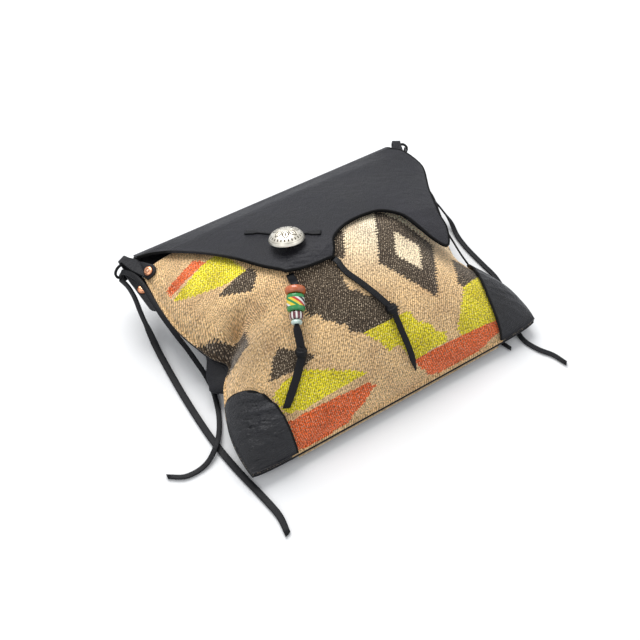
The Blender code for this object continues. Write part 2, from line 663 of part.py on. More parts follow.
def lug(name, corner, group):
    """A strip folded over the lace ring, one lobe on the front and one under the seam."""
    lift = LUG_GAP + LEATHER_THICKNESS / 2

    def place(u, v):
        part = v * 3
        if part < 1:
            from_end = part * LUG_FRONT_LENGTH
            from_eye = LUG_FRONT_LENGTH - from_end
            spot = corner.eye + corner.front * from_eye
            spot = spot + corner.across(corner.front) * u * lug_width(from_eye, from_end) / 2
            return on_surface(front_height, *spot, lift)
        if part < 2:
            t = part - 1
            run = corner.front.lerp(corner.back, t).normalized()
            spot = corner.eye - run * corner.fold * sin(pi * t)
            spot = spot + corner.across(run) * u * lug_width(0, LUG_FRONT_LENGTH) / 2
            return Vector((*spot, seam_height(*spot) + corner.fold * cos(pi * t)))
        from_eye = (part - 2) * LUG_BACK_LENGTH
        spot = corner.eye + corner.back * from_eye
        width = lug_width(from_eye, LUG_BACK_LENGTH - from_eye)
        spot = spot + corner.across(corner.back) * u * width / 2
        return on_surface(back_height, *spot, -lift)
    return sheet(name, "leather", group, 4, LUG_ROWS, place, LEATHER_THICKNESS, offset=0.0)


def head_seat(matrix, height, lift):
    """Where the head of a rivet sits: the lobe may curve up under its rim."""
    rise = 0.0
    for angle in (pi * i / 6 for i in range(12)):
        rim = matrix @ Vector((RIVET_HEAD_RADIUS * cos(angle), RIVET_HEAD_RADIUS * sin(angle), 0))
        rise = max(rise, (matrix.inverted() @ on_surface(height, rim.x, rim.y, lift)).z)
    return RIVET_SEAT + rise


def rivet(name, group, matrix, seat, depth):
    """A domed copper head, its shank, and the end clinched over below."""
    head, shank, clinch = RIVET_HEAD_RADIUS, RIVET_SHANK_RADIUS, RIVET_CLINCH_RADIUS
    top = seat + RIVET_HEAD_HEIGHT
    profile = [(0, top), (head * 0.5, top - 0.0002), (head * 0.87, top - 0.0007),
               (head, seat + 0.0002), (head, seat), (shank, seat),
               (shank, -depth), (clinch, -depth),
               (clinch * 0.8, -depth - RIVET_CLINCH_HEIGHT), (0, -depth - RIVET_CLINCH_HEIGHT)]
    return turned(name, "copper", group, profile, matrix)


def ridge_corner(side, word, panel, group, cutters):
    """The lug of one corner with its rivets, ring, knot and two laces."""
    corner = Corner(side)
    strap = lug("lug_" + word, corner, group)
    front, back = corner.front_rivet(), corner.back_rivet()
    through_panel = LEATHER_THICKNESS + LUG_GAP + FABRIC_THICKNESS + RIVET_SLACK
    through_lobe = LEATHER_THICKNESS + CLEARANCE
    front_seat = head_seat(front, front_height, LUG_GAP + LEATHER_THICKNESS)
    back_seat = head_seat(back, back_height, -LUG_GAP)
    rivet("rivet_front_" + word, group, front, front_seat, through_panel)
    rivet("rivet_back_" + word, group, back, back_seat, through_lobe)
    for target, matrix, depth in ((strap, front, through_panel), (strap, back, through_lobe),
                                  (panel, front, through_panel)):
        cut(target, cutters, matrix, RIVET_HEAD_HEIGHT, -depth - CLEARANCE)
    points = corner.ring_points()
    tube("lace_ring_" + word, "lace_leather", group,
         smooth_route(points, LACE_STEP / 2, closed=True), RING_CORD_RADIUS, closed=True)
    before, at = points[RING_KNOT_AT - 1], points[RING_KNOT_AT]
    after = points[(RING_KNOT_AT + 1) % len(points)]
    knot("ring_knot_" + word, group, at, after - before, RING_CORD_RADIUS)
    for length in ("long", "short"):
        route = [Vector(p) for p in SIDE_LACES[word, length]]
        tube("side_lace_%s_%s" % (word, length), "lace_leather", group,
             smooth_route(route, LACE_STEP), LACE_RADIUS)


SIDE_LACES = {
    ("left", "long"): LEFT_LONG_LACE, ("left", "short"): LEFT_SHORT_LACE,
    ("right", "long"): RIGHT_LONG_LACE, ("right", "short"): RIGHT_SHORT_LACE,
}


def parent_to(children, empty):
    """Hang the objects on an empty, each where it is."""
    bpy.context.view_layer.update()
    for child in children:
        child.parent = empty
        child.matrix_parent_inverse = empty.matrix_world.inverted()


def main():
    clear_scene()
    group = bpy.data.collections.new("shoulder_pouch")
    cutters = bpy.data.collections.new("cutters")
    for collection in (group, cutters):
        bpy.context.scene.collection.children.link(collection)
    panel = front_panel(group)
    back_panel(group)
    for side, word in ((-1, "left"), (1, "right")):
        corner_patch("corner_patch_" + word, side, group)
        ridge_corner(side, word, panel, group, cutters)
    fixed = list(group.objects) + list(cutters.objects)

    moving = [flap(group), concho(group), concho_lace(group)] + tongue_laces(group)
    hinge = bpy.data.objects.new("flap_hinge", None)
    group.objects.link(hinge)
    hinge.location = hinge_point(0)
    parent_to(moving, hinge)

    middle = bpy.data.objects.new("pouch", None)
    group.objects.link(middle)
    parent_to(fixed + [hinge], middle)
    middle.location.y = -CENTRE_Y


main()
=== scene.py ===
# %% [markdown]
# # A stuffed shoulder pouch in Blender
# The pouch is small, soft and full, and it lies on its back. Its front is woven wool with a
# stepped geometric pattern. The back, the flap, the corner patches and all the laces are black
# leather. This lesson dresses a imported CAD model: its solids stay where they are, and each soft
# one is replaced by a piece with the surface of the real thing.

from math import atan2, cos, exp, hypot, pi, radians, sin

import bmesh
import bpy
from mathutils import Euler, Matrix, Vector, kdtree, noise
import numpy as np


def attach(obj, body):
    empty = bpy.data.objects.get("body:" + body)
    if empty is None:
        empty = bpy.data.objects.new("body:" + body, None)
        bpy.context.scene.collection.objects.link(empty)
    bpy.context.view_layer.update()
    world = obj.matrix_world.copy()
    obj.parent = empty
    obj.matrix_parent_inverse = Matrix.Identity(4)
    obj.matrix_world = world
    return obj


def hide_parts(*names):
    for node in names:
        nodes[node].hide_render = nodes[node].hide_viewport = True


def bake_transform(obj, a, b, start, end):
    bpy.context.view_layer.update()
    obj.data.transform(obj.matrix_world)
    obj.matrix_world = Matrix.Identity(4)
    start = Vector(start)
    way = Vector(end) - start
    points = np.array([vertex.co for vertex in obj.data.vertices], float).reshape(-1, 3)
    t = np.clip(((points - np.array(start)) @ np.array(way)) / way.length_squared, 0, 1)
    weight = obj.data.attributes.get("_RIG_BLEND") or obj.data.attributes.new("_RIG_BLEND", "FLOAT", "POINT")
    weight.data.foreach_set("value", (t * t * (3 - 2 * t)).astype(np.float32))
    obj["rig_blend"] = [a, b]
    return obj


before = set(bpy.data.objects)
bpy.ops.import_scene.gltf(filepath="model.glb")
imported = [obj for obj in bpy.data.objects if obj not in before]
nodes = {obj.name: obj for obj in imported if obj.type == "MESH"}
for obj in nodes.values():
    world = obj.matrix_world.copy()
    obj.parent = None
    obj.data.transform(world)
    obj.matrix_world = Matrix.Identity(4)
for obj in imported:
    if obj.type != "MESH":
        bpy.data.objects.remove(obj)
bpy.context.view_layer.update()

# %% [markdown]
# The camera comes first, because every piece is judged from it. It looks down at 55 degrees
# from the front left. A long lens keeps the far side of the pouch nearly as large as the near
# side, so the picture stays calm.

# %% Place the camera
CAMERA_PLACE = Vector((-0.3062, -0.4725, 0.7953))
CAMERA_TURN = radians(-32)
CAMERA_RISE = radians(55)
LENS = 61.875                # mm, on a 36 mm sensor


def add_camera():
    data = bpy.data.cameras.new("camera")
    data.lens = LENS
    data.sensor_width = 36
    camera = bpy.data.objects.new("camera", data)
    bpy.context.scene.collection.objects.link(camera)
    back = Vector((sin(CAMERA_TURN) * cos(CAMERA_RISE), -cos(CAMERA_TURN) * cos(CAMERA_RISE),
                   sin(CAMERA_RISE)))
    camera.location = CAMERA_PLACE
    camera.rotation_euler = (-back).to_track_quat("-Z", "Y").to_euler()
    bpy.context.scene.camera = camera


add_camera()
bpy.context.scene.view_settings.view_transform = "Standard"

# %% [markdown]
# The studio is a white room with large soft lamps. The world gives an even fill, and a big lamp
# above and behind the pouch makes the leather shine along its folds and throws the soft shadow
# forwards. The lamps stay at a level where a colour renders about as it is written. The floor is
# white for the camera, and a little darker for the light that it throws back on the pouch.

# %% Light the studio
LAMPS = [("back_lamp", (0.15, 0.85, 1.32), 1.1, 21.5),
         ("side_lamp", (-1.3, -0.3, 1.1), 1.0, 3.0),
         ("front_lamp", (0.9, -1.1, 1.5), 1.2, 3.5)]
WORLD_FILL, FILL_COLOUR = 0.48, (0.93, 0.96, 1, 1)
FLOOR_SEEN, FLOOR_BOUNCE = (1, 1, 1, 1), (0.8, 0.81, 0.83, 1)


def add_lamp(name, place, size, power):
    data = bpy.data.lights.new(name, "AREA")
    data.size = size
    data.energy = power
    lamp = bpy.data.objects.new(name, data)
    lamp.location = place
    lamp.rotation_euler = (-Vector(place)).to_track_quat("-Z", "Y").to_euler()
    bpy.context.scene.collection.objects.link(lamp)


for lamp in LAMPS:
    add_lamp(*lamp)


def add_node(tree, kind, values=None, **settings):
    """A shader node with its settings, and with values or links for its inputs."""
    node = tree.nodes.new(kind)
    for key, value in settings.items():
        setattr(node, key, value)
    for key, value in (values or {}).items():
        if isinstance(value, bpy.types.NodeSocket):
            tree.links.new(value, node.inputs[key])
        else:
            node.inputs[key].default_value = value
    return node


def mathed(tree, operation, *values):
    """What a Math node makes of its values or links."""
    return add_node(tree, "ShaderNodeMath", dict(enumerate(values)),
                    operation=operation).outputs[0]


def mixed(tree, part, first, second, blend_type="MIX"):
    """Two colours mixed, with the given part of the second one."""
    return add_node(tree, "ShaderNodeMix", {"Factor": part, 6: first, 7: second},
                    data_type="RGBA", blend_type=blend_type).outputs[2]


def light_world():
    """White for the camera and in reflections, and a plain fill for everything else."""
    world = bpy.data.worlds.new("studio")
    bpy.context.scene.world = world
    world.use_nodes = True
    tree = world.node_tree
    tree.nodes.clear()
    rays = add_node(tree, "ShaderNodeLightPath").outputs
    fill = add_node(tree, "ShaderNodeBackground", {"Color": FILL_COLOUR, "Strength": WORLD_FILL})
    white = add_node(tree, "ShaderNodeBackground", {"Color": (1, 1, 1, 1), "Strength": 1.0})
    seen = mathed(tree, "MAXIMUM", rays["Is Camera Ray"], rays["Is Transmission Ray"])
    shown = mathed(tree, "MAXIMUM", seen, rays["Is Glossy Ray"])
    mix = add_node(tree, "ShaderNodeMixShader",
                   {0: shown, 1: fill.outputs[0], 2: white.outputs[0]})
    out = add_node(tree, "ShaderNodeOutputWorld")
    tree.links.new(mix.outputs[0], out.inputs["Surface"])


light_world()


def add_floor():
    mesh = bpy.data.meshes.new("floor")
    bm = bmesh.new()
    bmesh.ops.create_grid(bm, x_segments=1, y_segments=1, size=6)
    bm.to_mesh(mesh)
    bm.free()
    floor = bpy.data.objects.new("floor", mesh)
    bpy.context.scene.collection.objects.link(floor)
    paper = bpy.data.materials.new("studio_paper")
    paper.use_nodes = True
    shader = paper.node_tree.nodes["Principled BSDF"]
    shader.inputs["Roughness"].default_value = 0.9
    shader.inputs["Specular IOR Level"].default_value = 0.1
    rays = add_node(paper.node_tree, "ShaderNodeLightPath").outputs
    mix = mixed(paper.node_tree, rays["Is Camera Ray"], FLOOR_BOUNCE, FLOOR_SEEN)
    paper.node_tree.links.new(mix, shader.inputs["Base Color"])
    mesh.materials.append(paper)


add_floor()

# %% [markdown]
# Every soft surface of the pouch follows one set of height functions, close to those of the CAD
# source. They say how high the front, the back and the flap are over each place of the floor.
# The places here are pouch coordinates, whose Y starts at the bottom seam. CENTRE_Y moves them
# into the frame of the CAD model.

# %% Describe the filled pouch
CENTRE_Y = 0.1099
BAG_WIDTH, TOP_WIDTH, BAG_DEPTH = 0.29, 0.264, 0.219
BOTTOM_SEAM_HEIGHT, RIDGE_HEIGHT, RIDGE_TILT = 0.0115, 0.0475, 0.045
WAIST_DEPTH, WAIST_Y, WAIST_SPREAD = 0.019, 0.094, 0.038
NOTCH_DEPTH, NOTCH_Y, NOTCH_SPREAD = 0.009, 0.092, 0.009
CREASE_DEPTH, CREASE_INNER, CREASE_SPREAD, CREASE_FADE = 0.007, (-0.078, 0.11), 0.008, 0.025
BELLY_DEPTH, BELLY_Y, BELLY_SPREAD = 0.034, 0.09, 0.022
TUCK_DEPTH, TUCK_Y, TUCK_SPREAD = 0.0085, 0.068, 0.026   # the right seam is drawn in a little
FRONT_BULGE, BACK_BULGE, CREST_Y = 0.062, 0.044, 0.111
FULLNESS, ROUNDNESS, BACK_ROUNDNESS = 2.4, 0.6, 0.9
UPPER_FRONT_POWER, UPPER_BACK_POWER = 1.2, 2.1
SEAM_FLANGE, SEAM_LIFT, MOUTH_Y = 0.003, 0.00225, 0.2
CORNER_ROUND = 0.004
LEATHER_THICKNESS = 0.002
FLAP_HALF_SPAN, FLAP_GAP, FLAP_DIP, FLAP_FLAT_Y = 0.15, 0.0018, 0.003, 0.2125
SLOPE_STEP = 0.001           # how far apart two heights are read for a slope


def share(value, low, high):
    return min(1.0, max(0.0, (value - low) / (high - low)))


def bell(off, spread):
    """1 where off is 0, falling to nothing a few spreads away."""
    return exp(-(off / spread) ** 2)


def rough(x, y, layer):
    """Smooth noise from about -1 to 1."""
    return noise.noise(Vector((x, y, layer)))


def ridged(value):
    return 1 - 2 * abs(value)


def seam_height(x, y):
    along = y / BAG_DEPTH
    return BOTTOM_SEAM_HEIGHT + (RIDGE_HEIGHT - BOTTOM_SEAM_HEIGHT - RIDGE_TILT * x) * along


def half_width(y, side):
    taper = (BAG_WIDTH - TOP_WIDTH) / 2 * y / BAG_DEPTH
    waist = WAIST_DEPTH * bell(y - WAIST_Y, WAIST_SPREAD)
    if side < 0:
        drawn_in = NOTCH_DEPTH * bell(y - NOTCH_Y, NOTCH_SPREAD)
    else:
        drawn_in = TUCK_DEPTH * bell(y - TUCK_Y, TUCK_SPREAD)
    return BAG_WIDTH / 2 - taper - waist - drawn_in


def crosswise(x, y, roundness, flange=SEAM_FLANGE):
    out = share(abs(x), 0.0, half_width(y, x) - flange)
    return (1 - out ** FULLNESS) ** roundness


def lengthwise(y, upper_power, roundness, flange=SEAM_FLANGE):
    if y < CREST_Y:
        return (1 - (1 - share(y, flange, CREST_Y)) ** FULLNESS) ** roundness
    return 1 - share(y, CREST_Y, BAG_DEPTH + SEAM_FLANGE) ** upper_power


def crease(x, y):
    outer = Vector((-half_width(NOTCH_Y, -1), NOTCH_Y))
    run = Vector(CREASE_INNER) - outer
    along = (Vector((x, y)) - outer).dot(run) / run.length_squared
    off = (Vector((x, y)) - outer - run * along).length
    if not 0 < along < 1:
        return 0.0
    return CREASE_DEPTH * sin(pi * along) * bell(off, CREASE_SPREAD)


def front_height(x, y, flange=SEAM_FLANGE):
    full = (FRONT_BULGE * lengthwise(y, UPPER_FRONT_POWER, ROUNDNESS, flange)
            * crosswise(x, y, ROUNDNESS, flange))
    return seam_height(x, y) + SEAM_LIFT + full - crease(x, y) * share(full, 0, CREASE_FADE)


def back_height(x, y):
    full = (lengthwise(y, UPPER_BACK_POWER, BACK_ROUNDNESS)
            * crosswise(x, y, BACK_ROUNDNESS))
    return max(0.0, seam_height(x, y) - SEAM_LIFT - BACK_BULGE * full)


def belly(x, y, z):
    """How far the back stands out at height z, below the fold in the left side seam."""
    if x > 0:
        return 0.0
    rise = share(z, 0.0, seam_height(x, y) - SEAM_LIFT)
    spread = BELLY_SPREAD if y > BELLY_Y else 0.5 * BELLY_SPREAD
    return BELLY_DEPTH * bell(y - BELLY_Y, spread) * sin(pi * rise)


def flap_height(x, y):
    out = share(abs(x), 0.0, FLAP_HALF_SPAN)
    arch = (1 - out ** FULLNESS) ** ROUNDNESS
    lift = SEAM_LIFT + FLAP_GAP + LEATHER_THICKNESS / 2
    full = FRONT_BULGE * lengthwise(y, UPPER_FRONT_POWER, ROUNDNESS)
    return seam_height(x, y) + lift + (full - FLAP_DIP * share(y, MOUTH_Y, FLAP_FLAT_Y)) * arch


def normal_of(height, x, y):
    near = SLOPE_STEP
    along_x = Vector((2 * near, 0, height(x + near, y) - height(x - near, y)))
    along_y = Vector((0, 2 * near, height(x, y + near) - height(x, y - near)))
    return along_x.cross(along_y).normalized()


def round_corner(x, y):
    half = half_width(y, x)
    pull = CORNER_ROUND * min(1.0, abs(x) / half) ** 10 * max(0.0, 1 - y / BAG_DEPTH) ** 12
    return x - (pull if x > 0 else -pull), y + pull * 0.7


def rounded(x, y, height):
    flat_x, flat_y = round_corner(x, y)
    return Vector((flat_x, flat_y,
                   height(x, y) + seam_height(flat_x, flat_y) - seam_height(x, y)))


def in_frame(point):
    """A pouch point in the CAD model's frame."""
    return Vector((point[0], point[1] - CENTRE_Y, point[2]))


def on_surface(height, x, y, lift):
    return Vector((x, y, height(x, y))) + normal_of(height, x, y) * lift


print("crest of the front, mm:", round(1000 * front_height(0, CREST_Y)))

# %% [markdown]
# All sheets of the pouch start as a flat bmesh grid. Each vertex is then moved by a function
# that knows where that part of the sheet goes. A grid keeps neat rows, which a weave and a UV
# map need, and it can be as fine as its surface asks for.

# %% Helpers for sheets
def spread(count, length_of):
    """Shares from 0 to 1 whose places along a curve are evenly spaced."""
    samples = 400
    lengths = [0.0]
    for i in range(samples):
        step = (length_of((i + 1) / samples) - length_of(i / samples)).length
        lengths.append(lengths[-1] + step)
    found, at = [], 0
    for i in range(count + 1):
        goal = lengths[-1] * i / count
        while at < samples - 1 and lengths[at + 1] < goal:
            at += 1
        part = (goal - lengths[at]) / max(1e-9, lengths[at + 1] - lengths[at])
        found.append((at + part) / samples)
    return found


def bent_grid(columns, rows, place, closed_rows=False, flip=False):
    """A bmesh grid moved by place(u, v), both from 0 to 1, with u and v as its UV map."""
    bm = bmesh.new()
    bmesh.ops.create_grid(bm, x_segments=columns, y_segments=rows, size=0.5, calc_uvs=True)
    layer = bm.loops.layers.uv.verify()
    for face in bm.faces:
        for loop in face.loops:
            loop[layer].uv = (loop.vert.co.x + 0.5, loop.vert.co.y + 0.5)
    for vert in bm.verts:
        vert.co = place(vert.co.x + 0.5, vert.co.y + 0.5)
    if closed_rows:
        bmesh.ops.remove_doubles(bm, verts=bm.verts, dist=1e-6)
    if flip:
        bmesh.ops.reverse_faces(bm, faces=bm.faces)
    return bm


def paint(bm, name, value_at):
    """A number for each vertex, kept as an attribute that a material can read."""
    layer = bm.verts.layers.float.new(name)
    for vert in bm.verts:
        vert[layer] = value_at(vert.co)


def turned(profile, steps, uv_height=1.0):
    """A profile of (radius, height) pairs spun round Z, with the turn as U and height as V."""
    bm = bmesh.new()
    verts = [bm.verts.new((radius, 0, height)) for radius, height in profile]
    edges = [bm.edges.new(pair) for pair in zip(verts, verts[1:])]
    bmesh.ops.spin(bm, geom=verts + edges, cent=(0, 0, 0), axis=(0, 0, 1), dvec=(0, 0, 0),
                   angle=2 * pi, steps=steps, use_merge=True)
    bmesh.ops.remove_doubles(bm, verts=bm.verts, dist=1e-6)
    bmesh.ops.recalc_face_normals(bm, faces=bm.faces)
    layer = bm.loops.layers.uv.verify()
    for face in bm.faces:
        middle = face.calc_center_median()
        around = atan2(middle.y, middle.x)
        for loop in face.loops:
            co = loop.vert.co
            off = atan2(co.y, co.x) - around
            off = (off + pi) % (2 * pi) - pi
            turn = (around + (off if hypot(co.x, co.y) > 1e-6 else 0)) / (2 * pi) + 0.5
            loop[layer].uv = (turn, co.z / uv_height)
    return bm


def add_piece(name, bm, finish, slot, body, stands_for=(), wall=0.0, offset=-1.0, bevel=0.0,
              smooth_levels=0):
    """Turn a bmesh into a finished piece, riding on a CAD body if named. The slot is not used."""
    mesh = bpy.data.meshes.new(name)
    bm.to_mesh(mesh)
    bm.free()
    mesh.shade_smooth()
    mesh.materials.append(finish)
    piece = bpy.data.objects.new(name, mesh)
    bpy.context.scene.collection.objects.link(piece)
    if wall:
        solid = piece.modifiers.new("wall", "SOLIDIFY")
        solid.thickness = wall
        solid.offset = offset
    if bevel:
        edge = piece.modifiers.new("worn_edge", "BEVEL")
        edge.width = bevel
        edge.segments = 2
        edge.limit_method = "ANGLE"
        edge.angle_limit = radians(50)
    if smooth_levels:
        subdivision = piece.modifiers.new("smooth", "SUBSURF")
        subdivision.levels = subdivision.render_levels = smooth_levels
    if body:
        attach(piece, body)
    if stands_for:
        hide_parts(*stands_for)
    return piece


# %% [markdown]
# ## Finishes
# The wool is woven in a twill, whose fine ribs run slantwise up the cloth. Its colours change
# in steps, so they are painted on the faces of a fine grid and read from a colour attribute.
# The mottled look comes from noise: each thread takes the dye a little differently.

# %% The wool
def start_material(name, roughness, **inputs):
    """A node material with its Principled shader, and a shortcut to its tree."""
    made = bpy.data.materials.new(name)
    made.use_nodes = True
    shader = made.node_tree.nodes["Principled BSDF"]
    shader.inputs["Roughness"].default_value = roughness
    for key, value in inputs.items():
        shader.inputs[key.replace("_", " ")].default_value = value
    return made, made.node_tree, shader


def connect(tree, shader, **sockets):
    for key, socket in sockets.items():
        tree.links.new(socket, shader.inputs[key.replace("_", " ")])


def ramp(tree, value, stops, interpolation="LINEAR"):
    """A colour ramp through (position, colour) stops."""
    node = add_node(tree, "ShaderNodeValToRGB", {"Fac": value})
    node.color_ramp.interpolation = interpolation
    while len(node.color_ramp.elements) < len(stops):
        node.color_ramp.elements.new(0.5)
    for element, (position, colour) in zip(node.color_ramp.elements, stops):
        element.position = position
        element.color = colour
    return node.outputs["Color"]


def grey(value):
    return (value, value, value, 1)


def tone(colour, factor):
    return (*[min(1, factor * c) for c in colour], 1)


def places(tree, space="Object"):
    """The place of each point of a piece, in its own space or in its UV map."""
    return add_node(tree, "ShaderNodeTexCoord").outputs[space]


def painted(tree, name, output="Fac"):
    """What an attribute of the mesh says at each point."""
    return add_node(tree, "ShaderNodeAttribute", attribute_name=name).outputs[output]


def clouds(tree, where, scale, detail, **more):
    """Noise from 0 to 1."""
    values = {"Vector": where, "Scale": scale, "Detail": detail, **more}
    return add_node(tree, "ShaderNodeTexNoise", values).outputs["Fac"]


def bumps(tree, height, strength, distance, **more):
    values = {"Height": height, "Strength": strength, "Distance": distance, **more}
    return add_node(tree, "ShaderNodeBump", values).outputs[0]


RIB_PITCH = 0.0017           # from one twill rib to the next
RIB_LEAN = radians(33)       # from the length of the pouch, towards its right side
PALE_THREAD = (0.62, 0.5, 0.36, 1)


def wool_finish():
    made, tree, shader = start_material("woven_wool", 0.92, Sheen_Weight=0.2,
                                        Specular_IOR_Level=0.2)
    where = places(tree, "UV")
    leaning = add_node(tree, "ShaderNodeMapping", {"Vector": where, "Rotation": (0, 0, RIB_LEAN)})
    ribs = add_node(tree, "ShaderNodeTexWave",
                    {"Vector": leaning.outputs[0], "Scale": 0.314 / RIB_PITCH,
                     "Distortion": 0.8, "Detail": 1.0, "Detail Scale": 3.0},
                    wave_profile="SIN").outputs["Fac"]
    threads = clouds(tree, where, 620.0, 2.0)
    patches = clouds(tree, where, 42.0, 4.0)
    specks = clouds(tree, where, 900.0, 1.0)
    fine = ramp(tree, threads, [(0.32, grey(0.42)), (0.5, grey(1.04)), (0.68, grey(1.62))])
    broad = ramp(tree, patches, [(0.3, (0.78, 0.74, 0.74, 1)), (0.52, grey(1.0)),
                                 (0.72, (1.14, 1.13, 1.1, 1))])
    lines = ramp(tree, ribs, [(0.1, grey(0.66)), (0.7, grey(1.2))])
    dots = ramp(tree, specks, [(0.52, grey(0.0)), (0.62, grey(0.75))])
    colour = mixed(tree, mathed(tree, "MULTIPLY", dots, ribs), painted(tree, "weave", "Color"),
                   PALE_THREAD)
    for tint in (fine, broad, lines):
        colour = mixed(tree, 1.0, colour, tint, "MULTIPLY")
    connect(tree, shader, Base_Color=colour,
            Normal=bumps(tree, mathed(tree, "ADD", ribs, threads), 0.5, 0.0006))
    return made


wool = wool_finish()

# %% [markdown]
# The leather is black and slightly blue, with a fine grain. Voronoi cells give the pebbles of the
# grain. The corner patches are the same hide with a coarser grain that lies in cross wrinkles. The
# flap and the patches are blacker in a band along their edges, which is partly the colour of the
# cut edge and partly painted shade under it, so each of these sheets carries an attribute that
# falls to 0 at its edge, and the shader reads it. The flap carries another one for a painted
# highlight on its tongue and its ear, where it is stretched.

# %% The leathers
def leather_finish(name, colour, grain, depth, roughness, stretch=(1, 1, 1), wrinkles=0.0,
                   cut_edge_and_shade=False, painted_light_and_shade=False, shine=0.25):
    made, tree, shader = start_material(name, roughness, Specular_IOR_Level=shine)
    where = places(tree)
    scaled = add_node(tree, "ShaderNodeMapping", {"Vector": where, "Scale": stretch}).outputs[0]
    cells = add_node(tree, "ShaderNodeTexVoronoi", {"Vector": scaled, "Scale": grain},
                     feature="SMOOTH_F1").outputs["Distance"]
    fine = clouds(tree, scaled, grain * 1.7, 4.0)
    broad = clouds(tree, where, 28.0, 4.0, Roughness=0.6)
    shade = ramp(tree, broad, [(0.3, tone(colour, 0.75)), (0.7, tone(colour, 1.35))])
    tints = [ramp(tree, fine, [(0.3, grey(0.55)), (0.7, grey(1.5))])]
    dull = add_node(tree, "ShaderNodeMapRange",
                    {"Value": broad, "From Min": 0.25, "From Max": 0.75,
                     "To Min": roughness - 0.08, "To Max": roughness + 0.1}).outputs[0]
    # A dark band along the edge: partly the cut edge's own colour, partly painted shade.
    if cut_edge_and_shade:
        rim = painted(tree, "from_edge")
        tints.append(ramp(tree, rim, [(0.45, grey(0.06)), (0.9, grey(1.0))]))
        edge_dull = ramp(tree, rim, [(0.45, grey(1.0)), (0.9, grey(0.0))])
        dull = mathed(tree, "MAXIMUM", dull, edge_dull)
    # A painted highlight on the flap's tongue and ear, read from an attribute.
    if painted_light_and_shade:
        tints.append(ramp(tree, painted(tree, "painted_light_and_shade"),
                          [(0.0, grey(1.0)), (1.0, (2.5, 2.4, 2.2, 1))]))
    for tint in tints:
        shade = mixed(tree, 1.0, shade, tint, "MULTIPLY")
    normal = bumps(tree, mathed(tree, "ADD", cells, fine), 0.6, depth)
    if wrinkles:
        folds = clouds(tree, scaled, grain * 0.14, 3.0, Distortion=0.6)
        normal = bumps(tree, folds, 0.8, wrinkles, Normal=normal)
    connect(tree, shader, Base_Color=shade, Roughness=dull, Normal=normal)
    return made


# The flap and the patches get the dark edge band, partly painted shade; the flap also a painted highlight.
flap_leather = leather_finish("flap_leather", (0.0125, 0.0128, 0.0165), 900.0, 0.0006, 0.48,
                              wrinkles=0.0012, cut_edge_and_shade=True, painted_light_and_shade=True, shine=0.2)
hide_leather = leather_finish("hide_leather", (0.008, 0.0083, 0.011), 900.0, 0.0005, 0.5,
                              wrinkles=0.001)
patch_leather = leather_finish("patch_leather", (0.012, 0.0124, 0.0155), 520.0, 0.0012, 0.38,
                               stretch=(0.6, 1.5, 1.5), wrinkles=0.0036, cut_edge_and_shade=True,
                               shine=0.36)
lace_leather = leather_finish("lace_leather", (0.0035, 0.0038, 0.0055), 1100.0, 0.0003, 0.45,
                               shine=0.2)

# %% [markdown]
# The metals are plain Principled shaders with a little tarnish. Silver darkens in the grooves of
# its stamped pattern, so the button carries its stamping as an attribute for the shader. Each
# copper rivet has a hollow end. Its material draws rings round the rivet's own axis: a painted
# glint on the pin, painted shade in the hollow round it, and a dark foot.
# The glass of the beads is opaque and shiny.

# %% The metals and the glass
RIVET_RADIUS = 0.005


def silver_finish():
    made, tree, shader = start_material("silver", 0.36, Metallic=1.0)
    stain = clouds(tree, places(tree), 160.0, 5.0)
    shade = ramp(tree, stain, [(0.35, (0.62, 0.59, 0.51, 1)), (0.6, (0.77, 0.74, 0.66, 1))])
    grime = ramp(tree, painted(tree, "stamping"),
                 [(0.12, grey(1.0)), (0.6, (0.11, 0.09, 0.07, 1))])
    connect(tree, shader, Base_Color=mixed(tree, 1.0, shade, grime, "MULTIPLY"),
            Normal=bumps(tree, stain, 0.15, 0.0002))
    return made


def rivet_finish(name, centre, axis):
    """Copper with a painted glint on its pin, painted shade in the hollow round it and a dark foot."""
    made, tree, shader = start_material(name, 0.28, Metallic=1.0)
    turn = axis.to_track_quat("Z", "Y").to_euler()
    local = add_node(tree, "ShaderNodeMapping",
                     {"Vector": places(tree), "Location": centre, "Rotation": turn},
                     vector_type="TEXTURE")
    flat = add_node(tree, "ShaderNodeVectorMath", {0: local.outputs[0], 1: (1, 1, 0)},
                    operation="MULTIPLY")
    out = add_node(tree, "ShaderNodeVectorMath", {0: flat.outputs[0]}, operation="LENGTH")
    # The rings paint a glint on the pin, shade in the hollow round it, copper, and a dark foot.
    copper_glint_and_shade = ramp(tree, mathed(tree, "DIVIDE", out.outputs["Value"], RIVET_RADIUS),
                 [(0.0, (0.95, 0.62, 0.45, 1)), (0.2, (0.9, 0.52, 0.34, 1)),
                  (0.27, (0.1, 0.04, 0.02, 1)), (0.38, (0.55, 0.22, 0.12, 1)),
                  (0.5, (0.9, 0.46, 0.27, 1)), (0.72, (0.62, 0.26, 0.14, 1)),
                  (0.84, (0.12, 0.05, 0.03, 1))])
    connect(tree, shader, Base_Color=copper_glint_and_shade, Normal=bumps(tree, copper_glint_and_shade, 0.5, 0.0004))
    return made


def glass_material(name):
    return start_material(name, 0.22, Coat_Weight=0.5, Coat_Roughness=0.1)


def glass_finish(name, colour):
    """Opaque bead glass with faint swirls."""
    made, tree, shader = glass_material(name)
    swirl = clouds(tree, places(tree), 240.0, 3.0)
    connect(tree, shader, Base_Color=ramp(tree, swirl, [(0.3, tone(colour, 0.7)),
                                                        (0.7, tone(colour, 1.25))]))
    return made


